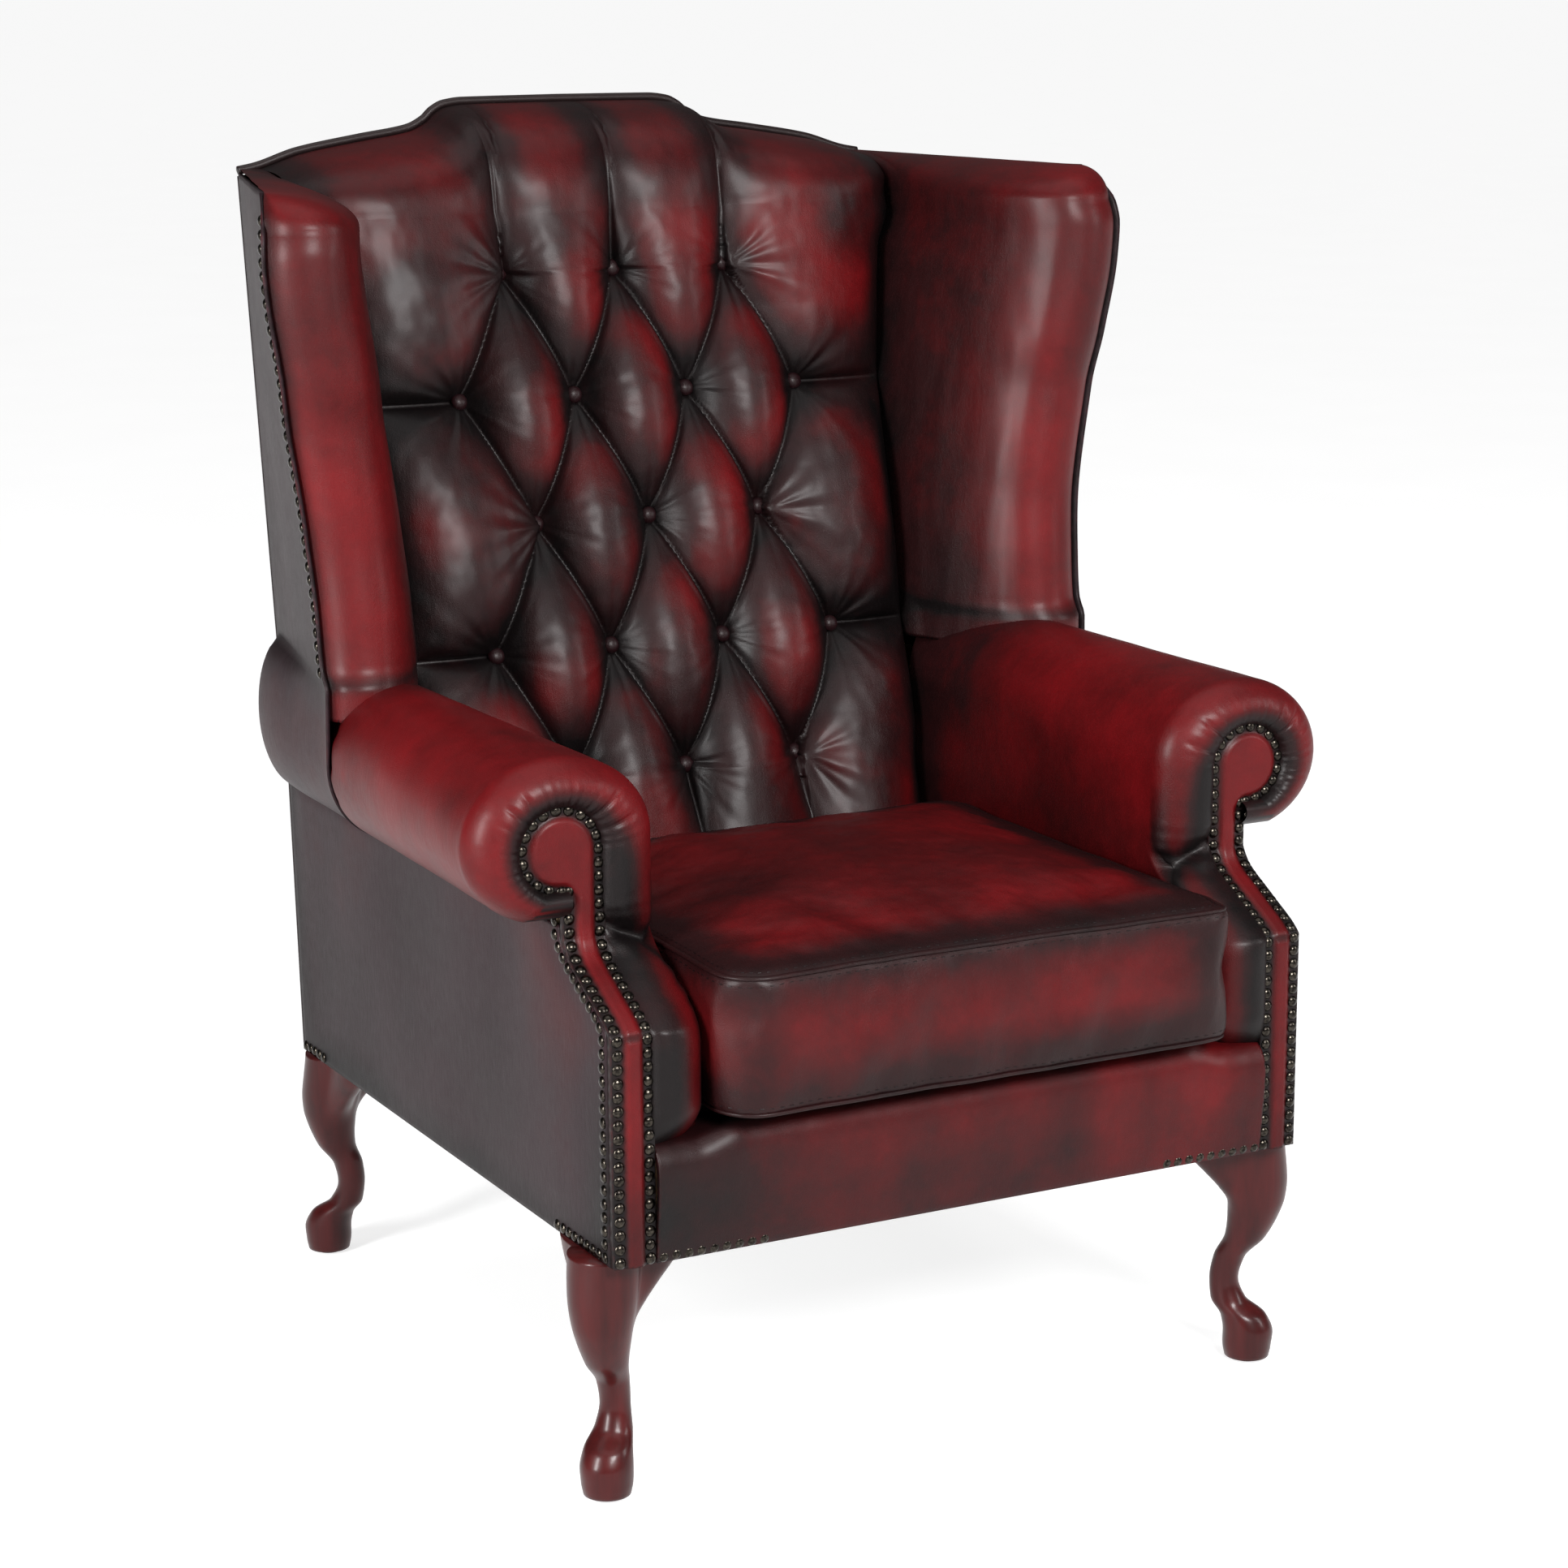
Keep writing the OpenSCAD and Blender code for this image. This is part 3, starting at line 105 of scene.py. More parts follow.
def curve(t, table):
    """Smooth curve through a table of (place, value), with slopes that never overshoot."""
    x, y = np.array(table, float).T
    rise = np.diff(y) / np.diff(x)
    slope = np.concatenate([[rise[0]], np.where(rise[1:] * rise[:-1] > 0,
                            2 * rise[1:] * rise[:-1] / (rise[1:] + rise[:-1] + 1e-12), 0), [rise[-1]]])
    t = np.clip(t, x[0], x[-1])
    i = np.clip(np.searchsorted(x, t, side="right") - 1, 0, len(x) - 2)
    h = x[i + 1] - x[i]
    u = (t - x[i]) / h
    return ((2 * u**3 - 3 * u**2 + 1) * y[i] + (u**3 - 2 * u**2 + u) * h * slope[i]
            + (3 * u**2 - 2 * u**3) * y[i + 1] + (u**3 - u**2) * h * slope[i + 1])


def facing_y(z):
    return mix(-front_y, -neck_y, curve((z - kink_z) / (neck_z - kink_z), sweep_share))


def button_y(z):
    return back_foot_y + back_slope * (z - deck_z)


def out_y(z):
    return np.where(z < tuck_z, mix(rear_y, knee_y, (z - leg_h) / (tuck_z - leg_h)),
                    mix(knee_y, top_y, (z - tuck_z) / (crest_h - tuck_z)))


def crest_z(x):
    return crest_h - crest_rise * (1 - curve(np.abs(x) / half_w, crest_share))


def seam_x(z):
    return mix(arm_in - 2 * fit, seam_top, curve((z - deck_z) / (crest_h - deck_z), seam_share))


def wing_t(z):
    return np.clip((z - arm_top) / (wing_top - arm_top), 0, 1)


def wing_x(z):
    return mix(wing_low, wing_out, curve(wing_t(z), flare_share))


def wing_front(z):
    return wing_y + nose_r * curve(wing_t(z), wing_sweep_share)


def roll_share(z):
    return np.sqrt(np.maximum(0, 1 - ((z - roll_z) / roll_b) ** 2))


def side_front(z):
    """Front edge of the outside panel: the covered roll low down, the wing's edge above it."""
    low = z < roll_z
    x = np.where(low, half_w + roll_wing * roll_share(z),
                 mix(half_w + roll_wing, wing_x(z), smooth((z - roll_z) / roll_b)))
    return x, np.where(low, join_y, wing_front(z))


def side_at(z, t):
    ax, ay = side_front(z)
    swell = roll_rear * roll_share(z) * smooth(t * 1.15) * smooth((1 - t) * 9)
    return mix(ax, half_w, t) + swell, mix(ay, out_y(z) - cover_t, t)


def grid_of(x, y, z):
    return np.stack(np.broadcast_arrays(x, y, z), -1).astype(float)


def circle(count):
    return np.linspace(0, 2 * pi, count, endpoint=False)


def ripple(points, scale, seed=0.0):
    """Soft noise from -1 to 1 at each point of an array of points."""
    flat = np.asarray(points, float).reshape(-1, 3) * scale + seed
    return np.array([noise.noise(p) for p in flat]).reshape(np.shape(points)[:-1])


# Materials
def put(tree, n, **values):
    """Gives a node its inputs, as values or as links, and its other settings. A _ stands for a space."""
    for key, value in values.items():
        title = key.replace("_", " ")
        if title not in n.inputs:
            setattr(n, key, value)
        elif isinstance(value, bpy.types.NodeSocket):
            tree.links.new(value, n.inputs[title])
        else:
            n.inputs[title].default_value = value
    return n


def node(tree, kind, **values):
    return put(tree, tree.nodes.new("ShaderNode" + kind), **values)


def material(name):
    m = bpy.data.materials.new(name)
    m.use_nodes = True
    return m, m.node_tree, m.node_tree.nodes["Principled BSDF"]


def ramp(tree, factor, stops):
    n = node(tree, "ValToRGB", Fac=factor)
    while len(n.color_ramp.elements) < len(stops):
        n.color_ramp.elements.new(0.5)
    for e, (place, colour) in zip(n.color_ramp.elements, stops):
        e.position, e.color = place, (*colour, 1)
    return n.outputs["Color"]


def maths(tree, operation, a, b, clamp=False):
    n = node(tree, "Math", operation=operation, use_clamp=clamp)
    for i, v in enumerate((a, b)):
        if isinstance(v, (int, float)):
            n.inputs[i].default_value = v
        else:
            tree.links.new(v, n.inputs[i])
    return n.outputs[0]


def placed(tree, kind, stretch=(1, 1, 1), **values):
    """A texture on the object's own coordinates."""
    coords = node(tree, "TexCoord").outputs["Object"]
    mapping = node(tree, "Mapping", Scale=stretch, Vector=coords)
    return node(tree, kind, Vector=mapping.outputs["Vector"], **values)


def noise_at(tree, scale, detail=3, rough=0.5, stretch=(1, 1, 1)):
    return placed(tree, "TexNoise", stretch, Scale=scale, Detail=detail, Roughness=rough).outputs["Fac"]


def bump(tree, height, strength, distance, **before):
    n = node(tree, "Bump", Height=height, Strength=strength, Distance=distance, **before)
    return n.outputs["Normal"]


def rubbed_leather_with_painted_light(name, stops, roughness, patch=0.3, coat=0.16):
    """Rubbed leather with painted light and shade. The mesh's tone, 0 for the painted shade in folds and
    creases and 1 for rubbed places and painted light, picks the colour.
    """
    m, tree, shader = material(name)
    tone = node(tree, "Attribute", attribute_name="tone")
    cloud = noise_at(tree, 14, 4, 0.6)
    mottle = noise_at(tree, 75, 5, 0.65)
    wave = maths(tree, "ADD", maths(tree, "MULTIPLY", maths(tree, "SUBTRACT", cloud, 0.5), 2 * patch),
                 maths(tree, "MULTIPLY", maths(tree, "SUBTRACT", mottle, 0.5), 0.7 * patch))
    level = maths(tree, "ADD", tone.outputs["Fac"], wave, clamp=True)
    gloss = maths(tree, "ADD", maths(tree, "MULTIPLY", mottle, 0.16), roughness - 0.08)
    crackle = placed(tree, "TexVoronoi", Scale=1300).outputs["Distance"]
    crease = noise_at(tree, 210, 5, 0.65, (1, 1, 0.45))
    grain = bump(tree, crease, 0.36, 0.0012, Normal=bump(tree, crackle, 0.50, 0.0004))
    put(tree, shader, Base_Color=ramp(tree, level, stops), Roughness=gloss, Normal=grain,
        Specular_IOR_Level=0.10, Specular_Tint=(1, 0.88, 0.87, 1), Coat_Weight=coat, Coat_Roughness=0.33)
    return m


ink, plum = (0.002, 0.0013, 0.0014), (0.011, 0.0017, 0.002)
oxblood, ruby = (0.038, 0.0013, 0.0018), (0.098, 0.0018, 0.003)
aubergine, maroon = (0.014, 0.006, 0.008), (0.040, 0.005, 0.006)
dark_button, dark_cord = (0.012, 0.003, 0.004), (0.016, 0.009, 0.009)
leather = rubbed_leather_with_painted_light("oxblood_leather", [(0, ink), (0.3, plum), (0.6, oxblood), (1, ruby)], 0.43)
panel_leather = rubbed_leather_with_painted_light("panel_leather", [(0, ink), (0.5, aubergine), (1, maroon)], 0.48, 0.2, 0.10)
button_leather = rubbed_leather_with_painted_light("button_leather", [(0, ink), (1, dark_button)], 0.40, 0.2, 0.15)
piping_leather = rubbed_leather_with_painted_light("piping_leather", [(0, ink), (1, dark_cord)], 0.38, 0.2, 0.3)


def wood(name, dark, light, roughness, coat, scale):
    m, tree, shader = material(name)
    rings = noise_at(tree, scale, 6, 0.6, (1, 1, 0.08))
    pores = noise_at(tree, scale * 14, 2, 0.5, (1, 1, 0.05))
    put(tree, shader, Base_Color=ramp(tree, rings, [(0.3, dark), (0.7, light)]), Roughness=roughness,
        Normal=bump(tree, pores, 0.15, 0.0004), Specular_IOR_Level=0.15, Coat_Weight=coat,
        Coat_Roughness=0.18)
    return m


mahogany = wood("mahogany", (0.018, 0.002, 0.002), (0.045, 0.004, 0.004), 0.36, 0.15, 60)
beech = wood("beech", (0.42, 0.26, 0.13), (0.62, 0.43, 0.25), 0.6, 0.0, 45)


def metal(name, dark, light, roughness, scale):
    m, tree, shader = material(name)
    colour = ramp(tree, noise_at(tree, scale), [(0.35, dark), (0.7, light)])
    put(tree, shader, Base_Color=colour, Metallic=1, Roughness=roughness)
    return m


bronze = metal("antique_bronze", (0.012, 0.010, 0.009), (0.06, 0.052, 0.042), 0.26, 420)
steel = metal("spring_steel", (0.25, 0.25, 0.26), (0.5, 0.5, 0.52), 0.4, 300)


def weave(name, dark, light, roughness, threads):
    """Plain woven cloth: crossed waves of threads for the relief, and a little noise in the colour."""
    m, tree, shader = material(name)
    waves = [placed(tree, "TexWave", bands_direction=axis, Scale=threads, Distortion=0.6).outputs["Fac"]
             for axis in "XYZ"]
    crossed = maths(tree, "MAXIMUM", maths(tree, "MAXIMUM", waves[0], waves[1]), waves[2])
    put(tree, shader, Base_Color=ramp(tree, noise_at(tree, 90, 4), [(0.3, dark), (0.7, light)]),
        Normal=bump(tree, crossed, 0.5, 0.0006), Roughness=roughness)
    return m


black_cloth = weave("black_cloth", (0.010, 0.009, 0.009), (0.025, 0.022, 0.021), 0.85, 320)
webbing = weave("webbing", (0.20, 0.13, 0.07), (0.40, 0.29, 0.16), 0.9, 150)
foam = weave("foam", (0.55, 0.42, 0.20), (0.72, 0.58, 0.32), 0.95, 400)
glide = weave("glide", (0.02, 0.02, 0.02), (0.05, 0.05, 0.05), 0.5, 60)


# Building meshes
def linked(name, data):
    obj = bpy.data.objects.new(name, data)
    bpy.context.scene.collection.objects.link(obj)
    return obj


def add_piece(name, skin, surface, slot, nodes=(), body="chair", pad=None, **how):
    """One piece of the chair: its mesh, finish and body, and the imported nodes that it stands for."""
    obj = linked(name, skin.mesh(name, **how))
    obj.data.materials.append(surface)
    obj.data.shade_smooth()
    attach(obj, body)
    if nodes:
        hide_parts(*nodes)
    return obj


class Skin:
    """Collects grids of points into one mesh, each point with its tone."""

    def __init__(self):
        self.points, self.tones, self.faces = [], [], []

    def grid(self, rows, tone=0.6, around=False, flip=False):
        """Quads over rows of points. around joins each row's end to its start."""
        rows = np.asarray(rows, float)
        m, n, _ = rows.shape
        start = len(self.points)
        self.points += rows.reshape(-1, 3).tolist()
        self.tones += np.broadcast_to(tone, (m, n)).reshape(-1).tolist()
        for i in range(m - 1):
            for j in range(n if around else n - 1):
                k = (j + 1) % n
                f = [start + i * n + j, start + i * n + k, start + (i + 1) * n + k, start + (i + 1) * n + j]
                self.faces.append(f[::-1] if flip else f)
        return self

    def cap(self, ring, tone=0.3):
        start = len(self.points)
        ring = np.asarray(ring, float)
        self.points += ring.tolist() + [ring.mean(axis=0).tolist()]
        self.tones += [tone] * (len(ring) + 1)
        for j in range(len(ring)):
            self.faces.append([start + j, start + (j + 1) % len(ring), start + len(ring)])
        return self

    def mirrored(self, both=False):
        """The same skin on the left side, or both sides in one."""
        other = Skin()
        other.points = [[-x, y, z] for x, y, z in self.points]
        other.tones = list(self.tones)
        other.faces = [f[::-1] for f in self.faces]
        if both:
            n = len(self.points)
            other.points = self.points + other.points
            other.tones = self.tones + other.tones
            other.faces = self.faces + [[i + n for i in f] for f in other.faces]
        return other

    def mesh(self, name, weld=True, outward=True):
        mesh = bpy.data.meshes.new(name)
        mesh.from_pydata(self.points, [], self.faces)
        tone = mesh.attributes.new("tone", "FLOAT", "POINT")
        tone.data.foreach_set("value", np.clip(self.tones, 0, 1))
        work = bmesh.new()
        work.from_mesh(mesh)
        if weld:
            bmesh.ops.remove_doubles(work, verts=work.verts, dist=0.00002)
        if outward:
            bmesh.ops.recalc_face_normals(work, faces=work.faces)
        work.to_mesh(mesh)
        work.free()
        return mesh


def sides(skin, name, surface, slot, nodes, **how):
    """Makes the right-hand piece and its mirror image."""
    for side, half in (("right", skin), ("left", skin.mirrored())):
        add_piece(f"{name}_{side}", half, surface, slot, [f"{n}_{side}" for n in nodes], **how)


# Buttoned back
last_row = 4
buttons = [(s, r) for r in range(last_row + 1) for s in range(-3, 4)
           if (s + r) % 2 == 0 and abs(s) <= (3 if r % 2 else 2)]


def root(t):
    return np.abs(t) ** 0.55


def tuft(s, r, wing_s):
    """Height of the buttoned back, from 0 at the buttons to 1. s counts half pitches, r rows down."""
    a = np.abs(s)
    odd = np.abs(r - 2 * np.floor(r / 2) - 1)
    edge = np.where((r < 0) | (r > last_row), 2, 3 - odd)
    ca, cb = np.abs(np.sin(np.pi * (s + r) / 2)), np.abs(np.sin(np.pi * (s - r) / 2))
    p = root(ca * cb)
    puff = p + (1 - p) * 0.40 * np.maximum(ca, cb) ** 0.8
    # A thin lip runs along the lower side of each pleat
    for phase, way in (((s + r) / 2, 1), ((s - r) / 2, -1)):
        off = (phase - np.round(phase)) * way
        lip = bell((off - 0.045) / 0.022) * np.minimum(ca, cb + ca) ** 0.5 * np.maximum(ca, cb) ** 2
        puff = puff + 0.055 * lip
    beyond = np.maximum(-r, r - last_row)
    q = root(np.sin(np.pi / 2 * s))
    strip = q + (1 - q) * np.minimum(0.9, 0.95 * np.clip(beyond, 0, 1))
    e = np.clip((a - edge) / (wing_s - edge), 0, 1)
    f = np.where(r > last_row - 1, np.minimum(1, r - last_row + 1), odd)
    f = np.where(r < 1, np.minimum(1, 1 - r), f)
    g = root(np.sin(np.pi * e) * np.sin(np.pi / 2 * np.clip(f, 0, 1)))
    outer = g + (1 - g) * 0.40 * np.abs(np.sin(np.pi * np.minimum(f, 1 - f * 0.5))) ** 0.7 * (1 - e)
    return np.where(a > edge, outer, np.where((r < 0) | (r > last_row), strip, puff))


def gathers(x, z):
    """Short radiating creases round each button, in metres of height."""
    total = np.zeros_like(x)
    for k, (s, r) in enumerate(buttons):
        dx, dz = x - s * button_pitch / 2, z - (row_z - r * row_pitch)
        d = np.hypot(dx, dz)
        a = np.arctan2(dz, dx)
        fans = (np.cos(9 * a + 1.7 * k) + 0.8 * np.cos(14 * a + 2.9 * k) + 0.6 * np.cos(23 * a + 0.6 * k))
        total += 0.0011 * fans * np.exp(-d / 0.020) * (d / (d + 0.005))
        if abs(s) >= 2:
            # The outermost buttons pull long folds towards the seams
            outward = smooth(dx * np.sign(s) / 0.03 + 0.2)
            reach = np.exp(-d / 0.060) * smooth(d / 0.03) * outward
            total += 0.0026 * np.cos(5.5 * a + 0.9 * k) ** 3 * reach
    return total


def back_tone(points):
    """Painted shade in the folds, along the crest's fold lines and round the buttons; red wear on the
    crowns at random, painted lighter where the crowns face right, and red on bands of the crest.
    """
    x, y, z = np.moveaxis(points, -1, 0)
    depth = (button_y(z) - y) / tuft_h
    across = np.gradient(y, axis=1) / np.maximum(np.gradient(x, axis=1), 1e-5)
    cloud = 0.5 + 0.5 * ripple(points, 12.0, 2.5)
    crest = smooth((z - 0.955) / 0.05)
    s = np.abs(x) / (button_pitch / 2)
    outside = np.clip((s - 2) / (seam_x(z) / (button_pitch / 2) - 2), 0, 1)
    band = np.where(s < 2, np.abs(np.sin(np.pi * s / 2)), np.sin(np.pi * outside) ** 0.7)
    crown = smooth((depth - 0.40) / 0.45)
    # Crowns: random wear from the cloud, painted light where they face right, painted shade in the folds;
    # on the crest, painted shade along its fold lines between red bands
    wear_light_and_shade = crown * (0.20 + 0.20 * smooth((across + 0.25) / 0.9) + 0.42 * smooth((cloud - 0.35) / 0.4))
    level = mix(0.04 + wear_light_and_shade, 0.10 + 0.50 * smooth(band * 1.25 - 0.25) * mix(0.75, 1.15, cloud), crest)
    # Painted shade in the dimple round each button
    for k, r in buttons:
        d = np.hypot(x - k * button_pitch / 2, z - (row_z - r * row_pitch))
        level = level * (1 - 0.85 * bell(d / 0.020))
    return np.clip(level, 0, 1)


def back_point(u, z):
    x = u * seam_x(z)
    s, r = x / (button_pitch / 2), (row_z - z) / row_pitch
    h = tuft(s, r, seam_x(z) / (button_pitch / 2))
    y = button_y(z) - tuft_h * h - gathers(x, z)
    return x, y


def buttoned_back():
    skin = Skin()
    us = np.linspace(-1, 1, 301)
    zs = np.linspace(deck_z + 0.004, row_z + row_pitch / 2, 330)
    u, z = np.meshgrid(us, zs)
    x, y = back_point(u, z)
    rows = [np.stack([x, y, z], -1)]
    # The cover rolls over the crest to the piping while its pleats fade out
    rear_bottom, steps = zs[-1], np.linspace(0, 1, 34)[1:]
    for t in steps:
        xs = us * seam_top
        top = crest_z(xs) - 0.003
        turn = radians(90 * t)
        rise = top - rear_bottom
        z_front = rear_bottom + rise * sin(turn) ** 0.9
        fade = 1 - smooth((t - 0.05) / 0.8)
        s1 = xs / (button_pitch / 2)
        r1 = np.full_like(xs, -0.5 - 0.35 * t)
        # Thin folds carry on over the crest from the three top buttons
        aside = [s1 - k - 0.25 * t for k in (-2, 0, 2)]
        folds = sum(np.exp(-np.abs(d) / 0.07) * (1 + 0.5 * np.sign(d)) for d in aside)
        h1 = mix(1 - 0.16 * folds, tuft(s1, r1, seam_top / (button_pitch / 2)), fade)
        back = out_y(top) - 2 * cover_t
        start = button_y(rear_bottom) - tuft_h * h1
        z_front = z_front - 0.025 * (1 - h1) * (1 - fade) * sin(2 * turn)
        yy = mix(start + (z_front - rear_bottom) * back_slope * 0.5, back, (1 - cos(turn)) ** 1.25)
        rows.append(np.stack([xs, yy, z_front], -1)[None])
    body = np.concatenate(rows)
    # Soft wrinkles, deeper on the outer puffs
    outer = smooth((np.abs(body[:, :, 0]) - 0.14) / 0.06)
    body[:, :, 1] += 0.0011 * ripple(body, (30, 30, 17.0), 6.0) * mix(0.35, 1, outer)
    body[:, :, 1] += 0.0004 * ripple(body, (85, 60, 55.0), 1.0)
    tone = back_tone(body)
    # Rear of the pad, so that the piece is closed; its hidden faces get darker tones, a painted shade
    last, first = body[-1], body[0]
    down = last.copy()
    down[:, 2] -= crest_drop
    low = np.stack([first[:, 0], button_y(first[:, 2]) + pad_t, first[:, 2]], -1)
    body = np.concatenate([body, down[None], low[None], body[:1]])
    tone = np.concatenate([tone, tone[-1:] * 0.4, tone[:1] * 0, tone[:1]])
    skin.grid(body, tone)
    add_piece("buttoned_back_leather", skin, leather, "leather", ["buttoned_back"], pad=0.9)


def button_caps():
    """Covered buttons, each tilted with the back and a little off true, in a puckered seat."""
    skin = Skin()
    profile = [(0.0, 0.36), (0.14, 0.352), (0.27, 0.31), (0.38, 0.23), (0.455, 0.12), (0.47, 0.03),
               (0.40, -0.06)]
    most = 0.12
    lean = Matrix.Rotation(radians(90) - atan(back_slope), 4, "X")
    for s, r in buttons:
        z = row_z - r * row_pitch
        tilt = Matrix.Rotation(random.uniform(-most, most), 4, "X")
        tilt = tilt @ Matrix.Rotation(random.uniform(-most, most), 4, "Y")
        place = Matrix.Translation((s * button_pitch / 2, button_y(z) - 0.006, z)) @ lean @ tilt
        rows = [[place @ Vector((q * button_d * cos(a), q * button_d * sin(a), h * button_d))
                 for a in circle(32)] for q, h in profile]
        skin.grid([[tuple(p) for p in row] for row in rows], 0.7, around=True)
    add_piece("button_caps", skin, button_leather, "dark_leather", ["back_buttons"])


buttoned_back()
button_caps()


# Wings
def resample(points, count):
    """Even spacing along a line of points."""
    points = np.asarray(points, float)
    step = np.concatenate([[0], np.cumsum(np.linalg.norm(np.diff(points, axis=0), axis=1))])
    at = np.linspace(0, step[-1], count)
    return np.stack([np.interp(at, step, points[:, k]) for k in range(points.shape[1])], -1)


def spline(points, per_span=10):
    """Catmull-Rom curve through a list of points."""
    p = np.asarray(points, float)
    p = np.concatenate([[2 * p[0] - p[1]], p, [2 * p[-1] - p[-2]]])
    t = np.linspace(0, 1, per_span, endpoint=False)[:, None]
    out = []
    for a, b, c, d in zip(p[:-3], p[1:-2], p[2:-1], p[3:]):
        out.append(0.5 * (2 * b + (c - a) * t + (2 * a - 5 * b + 4 * c - d) * t**2
                          + (3 * b - a - 3 * c + d) * t**3))
    return np.concatenate(out + [p[-2:-1]])


def wing_section(z, count):
    """Inside of a wing at a height, from the seam with the back round the padded nose to the nails."""
    xe, ye = float(wing_x(z)), float(wing_front(z))
    sx, sy = float(seam_x(z)), float(button_y(z))
    c = np.array([xe - nose_r, ye + nose_r / 2])
    turn = np.radians(np.arange(-138, -29, 2))
    nose = c + nose_r * np.column_stack([np.cos(turn), np.sin(turn)])
    seam = np.array([sx, sy - 0.012])
    run = nose[0] - seam
    lead = run + 0.20 * np.array([run[1], -run[0]])
    tail = np.linalg.norm(run) * 0.9 * np.array([-sin(turn[0]), cos(turn[0])])
    u = np.linspace(0, 1, 60, endpoint=False)[:, None]
    line = seam + (3 * u**2 - 2 * u**3) * run + (u**3 - 2 * u**2 + u) * lead + (u**3 - u**2) * tail
    line = np.concatenate([line, nose, [[xe - 0.003, ye + 0.004]]])
    line = resample(line, count)
    # The cover dives into the seam at its rear end
    run = np.linspace(0, np.linalg.norm(np.diff(line, axis=0), axis=1).sum(), count)
    dive = np.exp(-run / 0.009)
    line[:, 0] += 0.0015 * dive
    line[:, 1] += 0.016 * dive
    return line


def inside_wing():
    skin = Skin()
    count, lift = 120, 0.030
    zs = np.linspace(wing_base - 0.030, wing_top - lift, 130)
    rows = []
    side = np.linspace(0, 1, count)
    for z in zs:
        line = wing_section(z, count)
        rows.append(np.column_stack([line, np.full(count, z)]))
    base = rows[-1]
    # Over the top: a rounded edge that closes on the outside panel
    seam_end = np.array([half_w - 0.002, float(out_y(wing_top)) - 0.004])
    ax, ay = (float(v) for v in side_front(wing_top - 0.002))
    outer = np.array([[ax - 0.004, ay + 0.004], seam_end])
    share = smooth(np.clip((0.80 - side) / 0.68, 0, 1))
    goal = outer[0] + (outer[1] - outer[0]) * share[:, None]
    goal[:, 0] -= (half_w - seam_top) * smooth(1 - side / 0.12)
    for t in np.linspace(0, 1, 22)[1:]:
        turn = pi / 2 * t
        xy = base[:, :2] + (goal - base[:, :2]) * (1 - cos(turn))
        z = base[:, 2] + (lift + 0.004 * share) * sin(turn)
        rows.append(np.column_stack([xy, z]))
    grid = np.array(rows)
    m = len(grid)
    z = grid[:, :, 2]
    # Soft puckers along the top edge and the seam, and a drawn-in foot on the arm
    wave = ripple(grid, (26, 26, 9.0), 3.0)
    foot = np.exp(-np.maximum(z - wing_base, 0) / 0.007)
    pucker = 0.0010 * wave + 0.0006 * ripple(grid, (60, 60, 18.0), 9.0)
    pull = np.stack([np.full((m, count), 0.75), np.full((m, count), 0.5), np.zeros((m, count))], -1)
    drawn = 0.005 * foot * smooth(side / 0.1) * smooth((1 - side) / 0.12)
    grid = grid + pull * (pucker + drawn)[:, :, None]
    cloud = ripple(grid, (8, 8, 4.0), 14.0)
    # Tone: lighter towards the nose and along the top edge, darker right at the nailed edge, with random
    # cloud; painted shade in the seam with the back and in the crease of the foot on the arm
    level = 0.30 + 0.42 * smooth((side[None] - 0.30) / 0.5) * smooth((1 - side[None]) / 0.06 + 0.1)
    level = level - 0.30 * np.exp(-side[None] / 0.07) + 0.12 * smooth((z - wing_top + 0.03) / 0.03)
    level = level - 0.35 * bell((z - wing_base - 0.001) / 0.006) + 0.22 * cloud
    skin.grid(grid, level + 0.03 * wave)
    # A hidden strip down to the arm closes the piece, painted dark (tone 0) as shade
    skin.grid(np.stack([grid[0], np.column_stack([np.tile([half_w - 0.006, 0.2], (count, 1)),
                                                  np.full(count, wing_base)])]), 0.0)
    return skin


def panel(rows, tone, thickness, toward):
    """Thin closed sheet: a grid of points, the same grid moved inwards, and the edges between them."""
    rows = np.asarray(rows, float)
    inner = rows + np.asarray(toward) * thickness
    # The hidden inner face and the thin edges get darker tones, a painted shade
    skin = Skin().grid(rows, tone).grid(inner, 0.1, flip=True)
    for pair in zip(*((side[0], side[-1], side[:, 0], side[:, -1]) for side in (rows, inner))):
        skin.grid(np.stack(pair), 0.3)
    return skin


def outside_wing():
    zs = np.concatenate([np.linspace(tuck_z + fit, roll_z, 26), np.linspace(roll_z, wing_top, 90)[1:]])
    ts = np.linspace(0, 1, 64)
    z = zs[:, None]
    x, y = side_at(z, ts)
    rows = grid_of(x + 0.0016 * np.exp(-ts / 0.03), y, z)
    rows[:, :, 0] += 0.0012 * ripple(rows, (12, 12, 7.0), 5.0) * smooth(ts * 8) * smooth((1 - ts) * 8)
    high = smooth((z - arm_top) / 0.05)
    tone = 0.35 + 0.25 * roll_share(np.minimum(z, arm_top)) * (1 - high) + 0.1 * ripple(rows, 6.0, 2.0)
    # Painted shade darkens the crease along the top of the arm; the panel is lighter on the roll and at the
    # front edge above the arm
    tone = tone - 0.25 * np.exp(-np.abs(z - arm_top) / 0.012) + 0.45 * np.exp(-ts / 0.05) * high
    return panel(rows, tone, cover_t * 0.9, (-1, 0, 0))


sides(inside_wing(), "wing_leather", leather, "leather", ["inside_wing"], pad=0.9)
sides(outside_wing(), "wing_panel", panel_leather, "dark_leather", ["outside_wing"])


